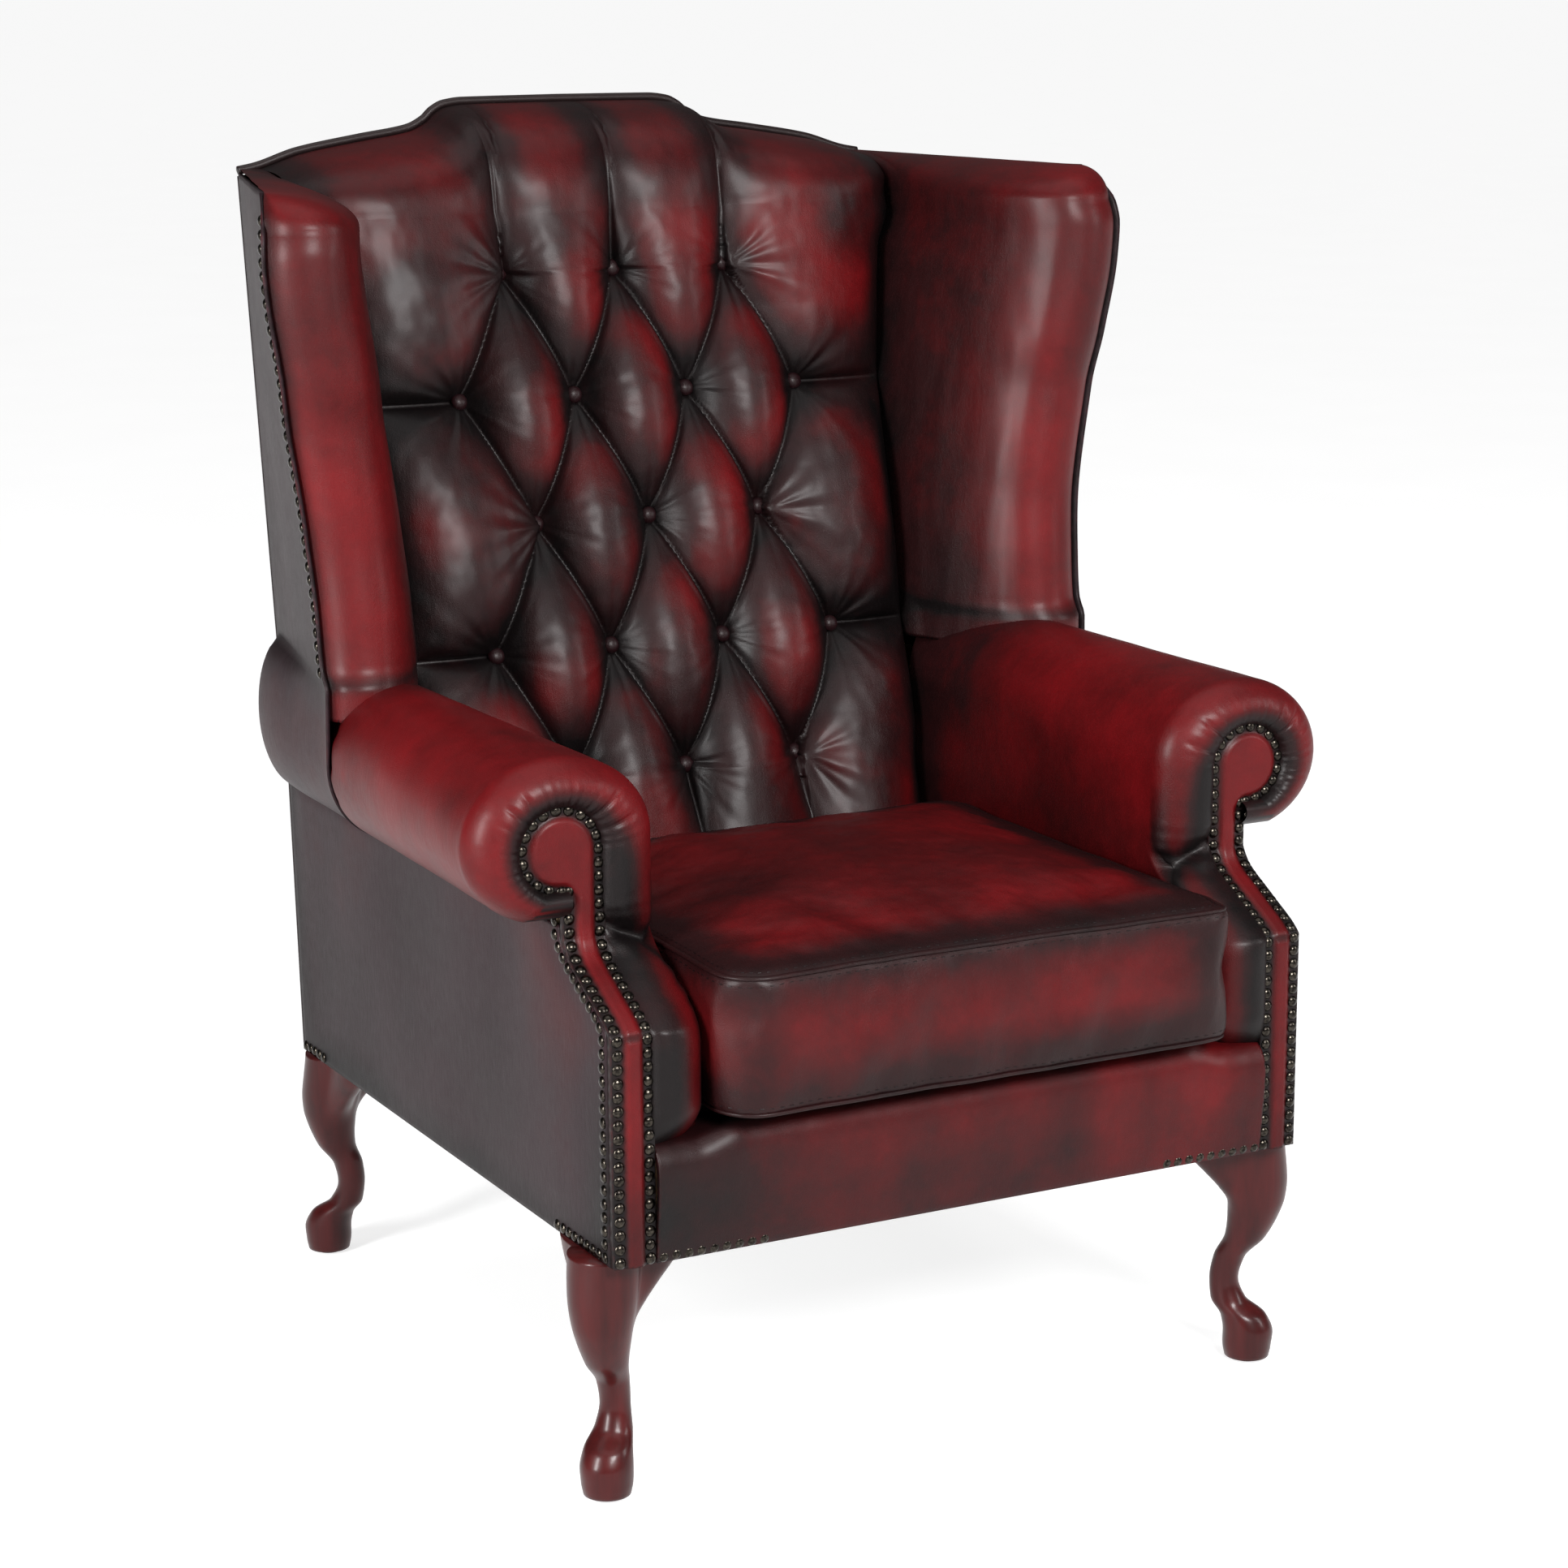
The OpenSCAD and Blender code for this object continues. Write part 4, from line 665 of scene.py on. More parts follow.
# Arms
def arm_columns():
    """Outline of the padded arm from the front, and the edge of the facing that each point starts from."""
    wall = np.linspace(rail_top + 0.004, roll_z, 90)[:-1]
    turn = np.radians(np.linspace(180, -67.5, 110))
    low_edge = facing_in + 0.004
    ring = [[low_edge, z - (roll_z - scroll_z) * float(smooth((z - neck_z) / (roll_z - neck_z)))]
            for z in wall]
    ring += [[scroll_x + (scroll_r - 0.004) * cos(a), scroll_z + (scroll_r - 0.004) * sin(a)] for a in turn]
    return wall, turn, np.array(ring)


def arm_outline(wall, turn, reach, in_wall, in_roll, b=roll_b):
    """Points (x, z) up the inner wall, over the roll and down its outer side."""
    over = np.where(np.cos(turn) < 0, half_w - in_roll, reach)
    xs = np.concatenate([in_wall, half_w + over * np.cos(turn)])
    zs = np.concatenate([wall, roll_z + b * np.sin(turn)])
    return xs, zs


def inside_arm():
    wall, turn, ring = arm_columns()
    n = len(ring)
    order = np.linspace(0, 1, n)
    xs, zs = arm_outline(wall, turn, roll_front, np.full(len(wall), arm_in), arm_in)
    on_roll = np.concatenate([smooth((wall - neck_z) / (roll_z - neck_z)), np.ones(len(turn))])
    angle = np.concatenate([np.full(len(wall), pi), turn])
    rows, tones = [], []
    ring_y = facing_y(ring[:, 1]) + 0.005
    soft_y = np.mean([facing_y(zs + shift) for shift in np.linspace(-0.016, 0.016, 9)], axis=0)
    side_y = soft_y + mix(0.016, 0.018, on_roll)
    forward = mix(0.019, 0.021, on_roll)
    curl = np.sqrt(smooth((zs - rail_top - 0.010) / 0.030))
    forward = forward * np.where(order < 0.3, curl, 1)
    # Padded rim: half an ellipse from the facing's edge out to the side of the arm
    arcs = np.linspace(pi, 0, 26)
    fan = (np.cos(46 * angle) + 0.7 * np.cos(31 * angle + 1.0)) * on_roll
    slack = (np.cos(2 * pi * zs / 0.011) + 0.6 * np.cos(2 * pi * zs / 0.017 + 1)) * (1 - on_roll)
    for a in arcs:
        t = (1 + cos(a)) / 2
        near = exp(-t / 0.35) * smooth(np.array(t / 0.08))
        # The neck's pucker runs down across the rim and draws it in, with slack folds on either side
        neck = np.exp(-np.abs((zs - 0.458 + 0.022 * t) / 0.009) ** 1.5) * (order < 0.5)
        folds = bell((zs - 0.452 + 0.022 * t) / 0.030) * (order < 0.5)
        pleat = near * (0.0008 * fan + 0.0016 * slack * folds)
        for place in (0.72, 0.98, 2.35, 2.75):
            groove = bell((angle - place) / 0.035) * on_roll * smooth(np.array((0.9 - t) / 0.5))
            pleat = pleat - 0.0028 * groove
        p = mix(ring, np.column_stack([xs, zs]), t)
        p[:, 0] += (0.012 * neck - 0.0009 * folds * slack + 0.016 * (1 - curl) * (order < 0.3)) * t
        y = mix(ring_y, side_y, t) - (forward * (1 - 0.7 * neck) + pleat) * sin(a)
        rows.append(np.column_stack([p[:, 0], y, p[:, 1]]))
        # Tone: red on the rim's crest; painted shade in the valley beside the facing, in the neck's pucker
        # and on the lower wall's side by the cushion
        inner = 1 - smooth((order - 0.38) / 0.16)
        rim = smooth((t - mix(0.12, 0.34, inner)) / 0.42)
        up = mix(0.60 - 0.45 * smooth(np.array((t - 0.8) / 0.2)), 0.74, on_roll)
        tones.append(np.clip(0.02 + up * rim - 0.7 * neck, 0, 1))
    # Back along the arm to the rear, stepping in under the outside wing
    join = join_y
    length = np.linspace(0, 1, 66)[1:]
    rear_y_at = button_y(zs) - 0.004
    for t in length:
        y = side_y + (rear_y_at - side_y) * t
        along = np.clip((y + neck_y) / (join + neck_y), 0, None)
        under = smooth((y - join + 0.006) / 0.006)
        back = smooth((y - join) / (rear_y_at - join))
        reach = np.maximum(mix(roll_front, roll_wing, np.minimum(along, 1)) - 0.006 * under, 0.02)
        reach = mix(reach, roll_rear - 0.006, back)
        inner = mix(arm_in, seam_x(np.maximum(zs, deck_z)) + 2 * fit, smooth(t) ** 2)
        x, z = arm_outline(wall, turn, reach[len(wall):], inner[:len(wall)], inner[len(wall):])
        hollow = 0.002 * sin(pi * min(1, t * 1.3))
        rows.append(np.column_stack([x + hollow * (x < half_w), y, z]))
        # Painted shade under the outside wing and in the rear corner against the back; the wall below the
        # roll is darker than the roll's top
        wing_shade = np.exp(-np.maximum(join - y, 0) / 0.03) * on_roll * (x < half_w + 0.06)
        lower = 0.50 + 0.20 * smooth((zs - 0.44) / 0.05)
        tones.append(np.clip(mix(lower, 0.76, on_roll * smooth((order - 0.43) / 0.08)) - 0.35 * wing_shade
                             - 0.35 * smooth((t - 0.8) / 0.2), 0, 1))
    grid = np.array(rows)
    tone = np.array(tones)
    swell = ripple(grid, (14, 9, 14.0), 1.0)
    fine = ripple(grid, (45, 22, 45.0), 4.0)
    body_part = smooth((np.arange(len(grid)) - 20) / 8.0)[:, None]
    sideways = np.where(xs < half_w, -1.0, 1.0) * np.abs(np.cos(angle))
    out = np.column_stack([sideways, np.zeros(n), np.maximum(0, np.sin(angle))])
    grid = grid + out[None] * (body_part * (0.0010 * swell + 0.0003 * fine))[:, :, None]
    skin = Skin().grid(grid, tone + 0.10 * swell + 0.22 * body_part * ripple(grid, (8, 6, 8.0), 15.0))
    # The hidden lower side of the roll, so that the piece has a closed look from below, painted dark as
    # shade
    tail = grid[:, -1].copy()
    inner = tail.copy()
    inner[:, 0] = half_w - 0.004
    skin.grid(np.stack([tail, inner]), 0.1)
    # The hidden side behind the facing, painted dark as shade
    foot = grid[:, 0].copy()
    hidden = foot.copy()
    hidden[:, 0] = facing_in + 0.002
    skin.grid(np.stack([foot, hidden]), 0.2)
    return skin


sides(inside_arm(), "arm_leather", leather, "leather", ["inside_arm"], pad=0.85)


def facing():
    """Padded keyhole strip up the front of the arm, crowned between the two rows of nails."""
    low = np.linspace(leg_h + 0.0005, scroll_z - scroll_r, 110)
    turn = np.radians(np.linspace(-90, 90, 60))[1:]
    zs = np.concatenate([low, scroll_z + scroll_r * np.sin(turn)])
    disc = np.sqrt(np.maximum(0, scroll_r**2 - (zs - scroll_z) ** 2))
    left = np.where(zs < scroll_z, facing_in, scroll_x - disc)
    right = np.where(zs < scroll_z - scroll_r, half_w, np.maximum(half_w, scroll_x + disc))
    right = np.where((zs > scroll_z) & (disc < 1e-6), left, right)
    edge = np.concatenate([np.column_stack([left, zs]), np.column_stack([right, zs])[::-1]])
    us = np.linspace(0, 1, 33)
    us = (us + smooth(us)) / 2
    rows, tones = [], []
    for a, b, z in zip(left, right, zs):
        x = mix(a, b, us)
        d = np.sqrt(((x[:, None] - edge[None, :, 0]) ** 2 + (z - edge[None, :, 1]) ** 2).min(axis=1))
        # Flat under the nails, then a quick rise to the crown
        rise = smooth((d - 0.0085) / 0.006)
        kink = bell((z - kink_z + 0.002) / 0.0022)
        neck = bell((z - neck_z - 0.001) / 0.004)
        height = 0.0035 * rise * (1 - 0.75 * kink) + 0.0012 * rise * neck
        rows.append(np.column_stack([x, facing_y(z) - height, np.full(len(x), z)]))
        # Tone: red on the crown, darker out under the nails and towards the bottom, with painted shade in
        # the kink's crease
        tones.append(np.clip(0.02 + 0.76 * smooth((d - 0.0065) / 0.0065) - 0.45 * kink * rise
                             - 0.25 * smooth((0.27 - z) / 0.06), 0, 1))
    return panel(np.array(rows), np.array(tones), facing_t * 0.8, (0, 1, 0))


sides(facing(), "facing_leather", leather, "leather", ["arm_facing"], pad=0.8)


def outside_arm():
    """Flat side panel with slack hollows, from the facing to the rear corner."""
    z, u = np.linspace(leg_h, tuck_z - fit, 70)[:, None], np.linspace(0, 1, 120)
    rows = grid_of(half_w, mix(facing_y(z) + facing_t + fit, out_y(z) - cover_t, u), z)
    inside = smooth(u / 0.10) * smooth((1 - u) / 0.06) * smooth((z - leg_h) / 0.04)
    slack = ripple(rows, (1, 9, 5.0), 8.0)
    rows[:, :, 0] += 0.0030 * slack * inside * smooth((tuck_z - z) / 0.02 + 0.3)
    tone = 0.38 + 0.22 * slack + 0.45 * np.exp(-u / 0.22) * smooth((z - 0.3) / 0.1) - 0.3 * (1 - inside)
    return panel(rows, tone, cover_t * 0.85, (-1, 0, 0))


sides(outside_arm(), "arm_panel", panel_leather, "dark_leather", ["outside_arm"])


def outside_back():
    u, t = np.linspace(-1, 1, 90), np.linspace(0, 1, 120)[:, None]
    z = mix(leg_h, crest_z(u * half_w) - 0.0055, t)
    rows = grid_of(u * half_w, out_y(z) - 0.0008, z)
    inside = smooth((1 - np.abs(u)) / 0.08) * smooth(t / 0.05) * smooth((1 - t) / 0.05)
    slack = ripple(rows, (5, 1, 4.0), 6.0)
    rows[:, :, 1] += inside * (0.0015 * slack - 0.0005)
    skin = panel(rows, 0.42 + 0.2 * slack - 0.3 * (1 - inside), cover_t * 0.75, (0, -1, 0))
    add_piece("back_panel", skin, panel_leather, "dark_leather", ["outside_back"])


outside_back()


def tube(points, radius, sides_n=12, tone=0.5):
    """Closed tube along a line of points."""
    rows = []
    for i, p in enumerate(points):
        d = Vector(points[min(i + 1, len(points) - 1)] - points[max(i - 1, 0)]).normalized()
        side = d.cross(Vector((0, 0, 1))).normalized()
        up = side.cross(d)
        rows.append([tuple(Vector(p) + radius * (side * cos(a) + up * sin(a))) for a in circle(sides_n)])
    return Skin().grid(rows, tone, around=True).cap(rows[0]).cap(rows[-1])


def crest_piping():
    radius = 0.004
    x = np.linspace(-half_w, half_w, 260)
    z = crest_z(x) - fit
    skin = tube(np.column_stack([x, out_y(z) - radius, z]), radius)
    add_piece("crest_piping_cord", skin, piping_leather, "black_cloth", ["crest_piping"])


crest_piping()


def front_border():
    """Apron over the front rail with its padded, gathered top roll between the arms."""
    profile = spline([(0.0004, leg_h + 0.0003), (0.0022, 0.212), (0.0050, 0.240), (0.0078, 0.272),
                      (0.0064, 0.293), (-0.002, 0.3065), (-0.014, 0.3105), (-0.028, 0.311)], 10)
    x = np.linspace(fit - facing_in, facing_in - fit, 340)
    # Under the arms' pads the apron stops at the rail
    reach = smooth((arm_in + 0.012 - np.abs(x)) / 0.040)
    tall = mix((rail_top + 0.016 - leg_h) / (deck_z - leg_h), 1, reach)
    rows = np.array([np.column_stack([x, np.full(len(x), -front_y - out), leg_h + (z - leg_h) * tall])
                     for out, z in profile])
    pleat = ripple(rows, (26, 1, 4.0), 2.0) + 0.5 * ripple(rows, (75, 1, 9.0), 6.0)
    slack = ripple(rows, (9, 1, 5.0), 4.0)
    height = (rows[:, :, 2] - leg_h) / (deck_z - leg_h)
    held = smooth(height / 0.16) * smooth((facing_in - np.abs(x)) / 0.012)[None]
    gathered = smooth((height - 0.25) / 0.5) * smooth((1.02 - height) / 0.1)
    rows[:, :, 1] -= held * (0.0012 * slack + 0.0013 * pleat * gathered)
    streak = ripple(rows, (22, 1, 3.5), 9.0)
    # Tone: streaks, slack and the gathers, lighter towards the right; painted shade where the top roll runs
    # in under the cushion and at the ends under the arms' pads
    tone = 0.42 + 0.12 * slack + 0.20 * streak + 0.14 * gathered - 0.30 * smooth((height - 0.88) / 0.1)
    tone = tone + 0.06 + 0.16 * (x / arm_in)[None]
    tone = tone - 0.14 * smooth((np.abs(x) - arm_in + 0.06) / 0.09)[None]
    skin = panel(rows, tone, 0.006, (0, 1, 0))
    add_piece("front_border_leather", skin, leather, "leather", ["front_border"], pad=0.7)


front_border()


# Legs

# Share of the leg's height, sideways offset, width and ears
leg_rows = [(0, -0.03, 0.74, 0), (0.045, -0.03, 0.93, 0), (0.107, -0.02, 1, 0), (0.18, -0.08, 0.8, 0),
            (0.25, -0.27, 0.3, 0), (0.34, -0.33, 0, 0), (0.44, -0.27, 0.1, 0), (0.54, -0.08, 0.55, 0),
            (0.645, 0.01, 1.05, 0), (0.716, 0.04, 1.35, 0.06), (0.787, 0.03, 1.62, 0.25),
            (0.86, 0, 1.78, 0.52), (0.93, -0.03, 1.85, 0.8), (1, -0.05, 1.85, 1)]


def lobe(a, at, spread=36):
    d = np.abs((a - at + 540) % 360 - 180)
    return np.where(d > spread, 0, np.cos(np.radians(90 * d / spread)) ** 2)


def leg(x, y, rake=0.0):
    offset, width, ears = ([(q[0], q[k]) for q in leg_rows] for k in (1, 2, 3))
    a = np.linspace(0, 360, 73)[:-1]
    sy = 1 if y > 0 else -1
    rows = []
    for t in np.linspace(0, 1, 90):
        off, r = curve(t, offset) * ankle_d * 2, mix(ankle_d, foot_d, curve(t, width)) / 2
        e = curve(t, ears) * (ear - knee_d / 2)
        g = r + e * (lobe(a, 180) + lobe(a, 270 if sy > 0 else 90))
        rows.append(np.column_stack([x + off + g * np.cos(np.radians(a)),
                                     y + off * sy - rake * smooth(t) + g * np.sin(np.radians(a)),
                                     np.full(len(a), mix(glide_h, leg_h - 0.0007, t))]))
    return Skin().grid(rows, 0.5, around=True).cap(rows[0]).cap(rows[-1])


sides(leg(*front_foot), "leg_wood_front", mahogany, "leg_wood", ["leg_front"])
sides(leg(*rear_foot, rear_rake), "leg_wood_rear", mahogany, "leg_wood", ["leg_rear"])


# Nails
def spaced(points, pitch=nail_pitch):
    length = np.linalg.norm(np.diff(points, axis=0), axis=1).sum()
    return resample(points, max(1, round(length / pitch)) + 1)


def nails(places):
    """Domed heads at (point, direction) pairs, each a touch out of line."""
    skin, radius, wobble = Skin(), nail_d / 2, 0.10
    profile = [(0.0, 1.0), (0.22, 0.97), (0.44, 0.87), (0.66, 0.70), (0.84, 0.45), (0.96, 0.18),
               (1.0, -0.05), (0.92, -0.15)]
    for point, direction in places:
        up = Vector(direction).normalized()
        up = (up + Vector(random.uniform(-wobble, wobble, 3))).normalized()
        turn, base = up.to_track_quat("Z", "Y"), Vector(point)
        rows = [[tuple(base + turn @ Vector((q * radius * cos(a), q * radius * sin(a), h * nail_h)))
                 for a in circle(18)] for q, h in profile]
        skin.grid(rows, 0.5, around=True)
    return skin


def facing_normal(z):
    slope = float(facing_y(z + 0.002) - facing_y(z - 0.002)) / 0.004
    return (0, -1, slope)


def facing_rows():
    lows = [leg_h + nail_inset, kink_z] + list(np.linspace(kink_z, neck_z, 7)[1:])

    def strip(x, top):
        return [(x, float(facing_y(z)), z) for z in lows + [top] if z <= top]

    def scroll(a, r=scroll_r - nail_inset):
        return (scroll_x + r * cos(radians(a)), -neck_y, scroll_z + r * sin(radians(a)))

    inner = strip(facing_in + nail_inset, scroll_z) + [scroll(a) for a in range(180, -61, -6)]
    inner += [scroll(-80), scroll(-91)]
    outer = strip(half_w - nail_inset, scroll_z - scroll_r + nail_d / 2)
    return [(p, facing_normal(p[2])) for row in (inner, outer) for p in spaced(row)]


def side_rows():
    low, top = leg_h + nail_inset, neck_z + 0.012
    back = facing_t + nail_inset + 0.0036
    rise = [(half_w, float(facing_y(z)) + back, z)
            for z in [low, kink_z, *np.linspace(kink_z, neck_z, 6)[1:], top]]
    y0 = rise[0][1]
    places = [(p, (1, 0, 0)) for p in spaced(rise)]
    places += [((half_w, y0 + k * nail_pitch, low), (1, 0, 0)) for k in range(1, 9)]
    y1 = float(out_y(low)) - cover_t - nail_inset
    places += [((half_w, y1 - k * nail_pitch, low), (1, 0, 0)) for k in range(5)]
    # The second row goes on round the underside of the scroll
    for a in np.linspace(188, 268, 6):
        r = scroll_r + nail_inset + 0.002
        c, s = cos(radians(a)), sin(radians(a))
        places.append(((scroll_x - r * c, -neck_y - 0.0015, scroll_z + r * s), (-0.25 * c, -1, 0.25 * s)))
    return places


def wing_rows():
    z0, z1 = wing_base + nail_d, wing_top - nose_r / 2
    places = []
    for z in np.linspace(z0, z1, round((z1 - z0) / nail_pitch) + 1):
        a, b = np.array(side_front(z)), np.array([half_w, float(out_y(z)) - cover_t])
        d = (b - a) / np.linalg.norm(b - a)
        p = a + d * nail_d * 0.8
        places.append(((p[0] + 0.0014, p[1], z), (d[1], -d[0], 0)))
    return places


nail_rows = {"facing_nails": facing_rows(), "side_nails": side_rows(), "wing_nails": wing_rows()}
for name, places in nail_rows.items():
    sides(nails(places), f"{name}_heads", bronze, "nails", [name], weld=False)
apron_x = facing_in - fit - nail_inset
apron = [((apron_x - k * nail_pitch, -front_y - 0.0004, leg_h + nail_inset), (0, -1, 0)) for k in range(9)]
add_piece("front_nails_heads", nails(apron).mirrored(both=True), bronze, "nails", ["front_nails"])


# Seat cushion
cushion_half = arm_in - 2 * fit
cushion_mid = (cushion_rear - cushion_front) / 2
cushion_len = (cushion_front + cushion_rear) / 2


def cushion_edge(count, inset):
    """Outline of the cushion from above, evenly spaced: rounded corners, and sides drawn in between."""
    hx, hy = cushion_half - inset, cushion_len - inset
    rf, rr = corner_r - inset, corner_r / 2 - inset
    points = []
    for cx, cy, r, a0 in ((hx - rr, hy - rr, rr, 0), (-hx + rr, hy - rr, rr, 90),
                          (-hx + rf, -hy + rf, rf, 180), (hx - rf, -hy + rf, rf, 270)):
        points += [(cx + r * cos(radians(a0 + b)), cy + r * sin(radians(a0 + b)))
                   for b in np.linspace(0, 90, 16)]
    p = resample(points + points[:1], count + 1)[:-1]
    along_x, along_y = np.abs(p[:, 0]) / hx, np.abs(p[:, 1]) / hy
    for k, on_edge, along in ((0, along_x, along_y), (1, along_y, along_x)):
        drawn = np.where(on_edge > 0.995, 1 - np.minimum(1, along * 1.15) ** 2, 0)
        p[:, k] -= np.sign(p[:, k]) * draw_in * drawn
    return p + [0, cushion_mid]


def bulge(points):
    """How far the stuffing pushes the cushion's front corner sideways, ahead of the pad of the arm."""
    return 0.012 * smooth((points[:, 0] - 0.10) / 0.12) * smooth((-front_y - 0.006 - points[:, 1]) / 0.022)


def cushion_shell():
    """Closed cushion before it is filled: base, boxing between the two seams, and crowned top."""
    count = 200
    edge = cushion_edge(count, welt_d * 0.55)
    centre = np.array([0, cushion_mid])

    def ring(share, z, grow=0.0):
        v = edge - centre
        outward = v / np.linalg.norm(v, axis=1)[:, None]
        return np.column_stack([centre + v * share + outward * grow, np.full(count, z)])

    top = cushion_z + cushion_h
    rows = [ring(t, cushion_z - belly * (1 - t**4) * 0.7) for t in np.linspace(0.02, 1, 30)]
    rows += [ring(1, mix(cushion_z, top, t), 0.002 * sin(pi * t)) for t in np.linspace(0, 1, 16)[1:]]
    rows += [ring(t, top + crown * 0.62 * (1 - t**3.2)) for t in np.linspace(1, 0.02, 34)[1:]]
    return Skin().grid(rows, 0.5, around=True).cap(rows[0]).cap(rows[-1])


def points_of(mesh):
    flat = np.empty(len(mesh.vertices) * 3)
    mesh.vertices.foreach_get("co", flat)
    return flat.reshape(-1, 3)


def modify(obj, kind, **settings):
    """Adds a modifier with its settings and applies it."""
    bpy.context.view_layer.objects.active = obj
    modifier = obj.modifiers.new(kind.lower(), kind)
    for key, value in settings.items():
        setattr(modifier, key, value)
    bpy.ops.object.modifier_apply(modifier=modifier.name)


def fill_cushion(obj):
    """Blows the shell up as cloth, holding its two seams, and keeps every point near where it began."""
    voxel, frames, furthest = 0.0055, 20, 0.024
    scene = bpy.context.scene
    modify(obj, "REMESH", mode="VOXEL", voxel_size=voxel)
    mesh = obj.data
    start = points_of(mesh)
    top = cushion_z + cushion_h
    side = np.abs(start[:, 2] - (cushion_z + top) / 2) < cushion_h / 2 + 0.006
    seam = side & ((np.abs(start[:, 2] - top) < 0.005) | (np.abs(start[:, 2] - cushion_z) < 0.005))
    hold = obj.vertex_groups.new(name="seams")
    for i in np.nonzero(seam | (start[:, 2] < cushion_z + 0.003))[0]:
        hold.add([int(i)], 1.0, "REPLACE")
    cloth = obj.modifiers.new("fill", "CLOTH")
    s = cloth.settings
    s.quality, s.mass, s.effector_weights.gravity = 6, 0.35, 0
    s.use_pressure, s.uniform_pressure_force = True, 4.0
    s.shrink_min = -0.01
    s.tension_stiffness = s.compression_stiffness = 24
    s.shear_stiffness, s.bending_stiffness = 12, 40
    s.vertex_group_mass = hold.name
    cloth.point_cache.frame_start, cloth.point_cache.frame_end = 1, frames
    for f in range(1, frames + 1):
        scene.frame_set(f)
    end = points_of(obj.evaluated_get(bpy.context.evaluated_depsgraph_get()).data)
    obj.modifiers.remove(cloth)
    scene.frame_set(1)
    move = end - start
    far = np.linalg.norm(move, axis=1, keepdims=True)
    move *= np.minimum(1, furthest / np.maximum(far, 1e-9))
    mesh.vertices.foreach_set("co", (start + move).ravel())
    mesh.update()


def cushion():
    obj = add_piece("cushion_leather", cushion_shell(), leather, "leather",
                    ["cushion_top", "cushion_base", "cushion_boxing"], "seat_cushion")
    fill_cushion(obj)
    mesh = obj.data
    modify(obj, "SMOOTH", factor=0.5, iterations=8)
    modify(obj, "SUBSURF", levels=1, render_levels=1)
    p = points_of(mesh)
    top = cushion_z + cushion_h
    # Keep the sides clear of the arms and the base on the deck, then draw the panels in under the welts
    limit = cushion_half - 0.0008
    p[:, 0] = np.clip(p[:, 0], -limit, limit)
    p[:, 1] = np.clip(p[:, 1], -cushion_front - 0.004, cushion_rear)
    lowest = np.where(p[:, 1] > -front_y + 0.02, deck_z + fit, cushion_z - 1.6 * belly)
    p[:, 2] = np.maximum(p[:, 2], lowest)
    seam = bell((p[:, 2] - top) / 0.005) + bell((p[:, 2] - cushion_z) / 0.005)
    outline = cushion_edge(400, welt_d * 0.55)
    near = np.sqrt(((p[:, None, 0] - outline[None, ::4, 0]) ** 2
                    + (p[:, None, 1] - outline[None, ::4, 1]) ** 2).min(axis=1))
    side = bell(near / 0.03)
    centre = np.array([0, cushion_mid])
    out = p[:, :2] - centre
    out /= np.maximum(np.linalg.norm(out, axis=1, keepdims=True), 1e-6)
    crease = ripple(p, (30, 30, 14.0), 3.0)
    fine = ripple(p, (85, 85, 40.0), 7.0)
    p[:, :2] -= out * (0.0015 * seam * side)[:, None]
    p[:, :2] += out * ((0.0007 * crease + 0.0004 * fine) * side)[:, None]
    on_top = smooth((p[:, 2] - top) / 0.012)
    p[:, 2] += on_top * (0.0013 * crease + 0.0006 * fine)
    p[:, 0] += bulge(p)
    mesh.vertices.foreach_set("co", p.ravel())
    if "tone" in mesh.attributes:
        mesh.attributes.remove(mesh.attributes["tone"])
    tone = mesh.attributes.new("tone", "FLOAT", "POINT")
    big = ripple(p, (7, 7, 7.0), 12.0)
    # Red shows along the middle of the boxing and away from the edges of the top; painted shade darkens the
    # boxing near its corners and the seam grooves
    middle = np.exp(-(np.abs(p[:, 2] - top + 0.050) / 0.036) ** 3)
    corner = 1 - 0.75 * bell((cushion_half - 0.030 - np.abs(p[:, 0])) / 0.022)
    boxing = 0.24 + (0.40 + 0.14 * big + 0.08 * p[:, 0] / arm_in) * middle * corner
    crown_level = 0.32 + (0.36 + 0.30 * big) * smooth((near - 0.008) / 0.06)
    level = mix(boxing, crown_level, on_top) + 0.05 * crease - 0.10 * seam * side
    tone.data.foreach_set("value", np.clip(level, 0, 1))
    mesh.shade_smooth()
    mesh.update()


cushion()


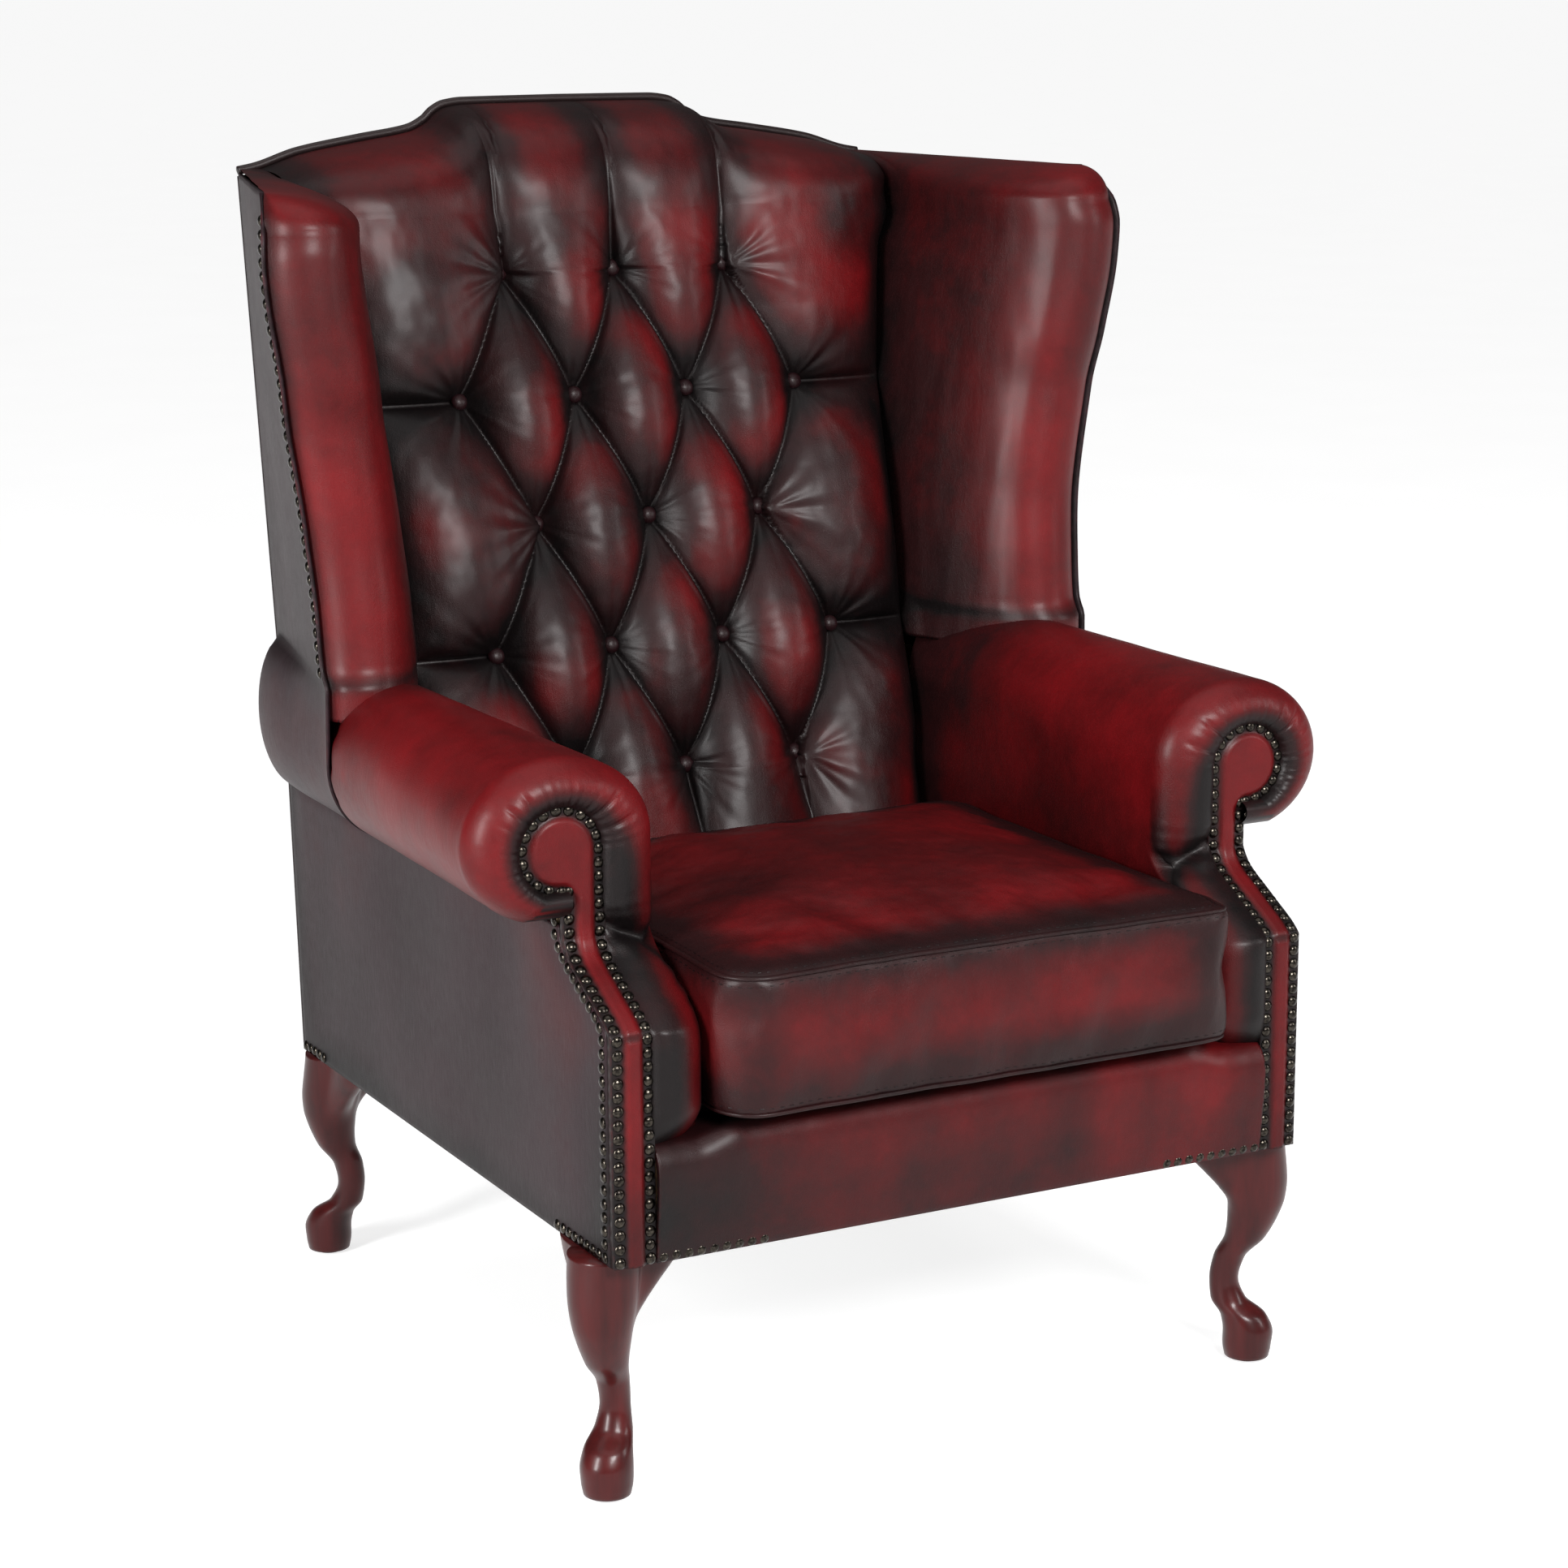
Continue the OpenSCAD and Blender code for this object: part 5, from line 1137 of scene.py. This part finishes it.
def welts():
    """Flat-stitched seams round the top and the base of the cushion, with their two rows of stitches."""
    mesh = bpy.data.objects["cushion_leather"].data
    hull = BVHTree.FromPolygons([v.co[:] for v in mesh.vertices], [f.vertices[:] for f in mesh.polygons])
    count, up = 420, np.array([0, 0, 1.0])

    def laid(points, above):
        """The points moved onto the filled cushion, a little above it, with its normals there."""
        hits = [hull.find_nearest(Vector(q)) for q in points]
        normals = np.array([hit[1] for hit in hits])
        return np.array([hit[0] for hit in hits]) + normals * above, normals

    for name, z in (("top", cushion_z + cushion_h), ("base", cushion_z + 0.002)):
        edge = cushion_edge(count, welt_d * 0.55)
        edge[:, 0] += bulge(edge)
        rise = 0.0012 * ripple(np.column_stack([edge, np.zeros(count)]), 22.0, 5.0)
        seam, _ = laid(np.column_stack([edge, z + rise]), 0.0004)
        for _ in range(6):
            seam = (np.roll(seam, 1, axis=0) + 2 * seam + np.roll(seam, -1, axis=0)) / 4
        tangent = np.roll(seam, -1, axis=0) - np.roll(seam, 1, axis=0)
        normal = np.column_stack([tangent[:, 1], -tangent[:, 0], np.zeros(count)])
        normal /= np.linalg.norm(normal, axis=1, keepdims=True)
        normal *= np.sign((normal[:, :2] * (edge - [0, cushion_mid])).sum(axis=1, keepdims=True))
        rows = [seam + normal * 0.0026 * cos(a) + up * 0.0020 * sin(a) for a in circle(14)]
        skin = Skin().grid(np.array(rows + rows[:1]).transpose(1, 0, 2)[np.r_[0:count, 0]], 0.2)
        add_piece(f"cushion_seam_{name}", skin, leather, "dark_leather", [f"cushion_welt_{name}"],
                  "seat_cushion")
        # Stitches: short threads set in the panel and the boxing on either side of the seam
        stitch = Skin()
        for inward, dz in ((0.0060, 0.0022), (0.0005, -0.0064)):
            line, face = laid(seam - normal * inward + up * (dz if name == "top" else -dz), 0.0001)
            for k in range(0, count - 1, 2):
                a, b = line[k], mix(line[k], line[k + 1], 0.75)
                half, mid = (b - a) / 2, (a + b) / 2
                flank = np.cross(half, face[k])
                flank *= 0.0004 / np.linalg.norm(flank)
                stitch.grid([[tuple(mid + shift - half), tuple(mid + shift + half)]
                             for shift in (-flank, face[k] * 0.0005, flank)], 0.2)
        add_piece(f"stitches_{name}", stitch, button_leather, "dark_leather", (), "seat_cushion",
                  weld=False, outward=False)


welts()

# Carried CAD nodes
finishes = {"frame_wood": beech, "steel": steel, "black_cloth": black_cloth, "webbing": webbing,
            "foam": foam, "glide": glide, "leg_wood": mahogany, "nails": bronze, "leather": leather,
            "dark_leather": panel_leather}
slots = {s["node"]: s["material_slot"] for s in frame["record"]["subparts"]}
for name, obj in frame["nodes"].items():
    for place in obj.material_slots:
        place.material = finishes[slots[name]]

# Studio
eye = Vector((-1.4407, -2.7662, 1.1851))
azimuth, elevation, roll = radians(-27.940652), radians(12.747108), radians(-0.2810)
ahead = Vector((-sin(azimuth) * cos(elevation), cos(azimuth) * cos(elevation), -sin(elevation)))
across = Vector((cos(azimuth), sin(azimuth), 0))
upward = across.cross(ahead)
right = cos(roll) * across + sin(roll) * upward
top_way = -sin(roll) * across + cos(roll) * upward
camera = linked("camera", bpy.data.cameras.new("camera"))
camera.data.sensor_width = 36
camera.data.lens = 83.64
camera.data.clip_end = 1000
camera.matrix_world = Matrix.Translation(eye) @ Matrix((right, top_way, -ahead)).transposed().to_4x4()
bpy.context.scene.camera = camera
bpy.context.scene.view_settings.view_transform = "Standard"


def softbox(name, place, size, power, target=(0, 0, 0.6)):
    light = bpy.data.lights.new(name, "AREA")
    light.shape, light.size, light.size_y, light.energy = "RECTANGLE", *size, power
    obj = linked(name, light)
    obj.location = place
    obj.rotation_euler = (Vector(target) - Vector(place)).to_track_quat("-Z", "Y").to_euler()


softbox("front", (-0.2, -3.5, 2.5), (1.3, 1.0), 240)
softbox("left", (-3.1, -1.1, 1.5), (0.6, 1.6), 165)
softbox("right", (2.7, -2.2, 1.7), (0.6, 1.6), 45)
ceiling = bpy.data.lights.new("ceiling", "SUN")
ceiling.energy, ceiling.angle = 1.2, radians(60)
linked("ceiling", ceiling)

world = bpy.data.worlds.new("studio")
bpy.context.scene.world = world
world.use_nodes = True
put(world.node_tree, world.node_tree.nodes["Background"], Color=(1, 1, 1, 1), Strength=0.10)

floor_mesh = bpy.data.meshes.new("floor")
reach = 300
corners = [(-reach, -reach, 0), (reach, -reach, 0), (reach, reach, 0), (-reach, reach, 0)]
floor_mesh.from_pydata(corners, [], [(0, 1, 2, 3)])
floor = linked("floor", floor_mesh)
paper, tree, shader = material("studio_paper")
greys = ramp(tree, noise_at(tree, 3), [(0.3, (0.39,) * 3), (0.7, (0.41,) * 3)])
put(tree, shader, Base_Color=greys, Roughness=0.9, Emission_Color=(1, 1, 1, 1), Emission_Strength=0.74)
floor_mesh.materials.append(paper)
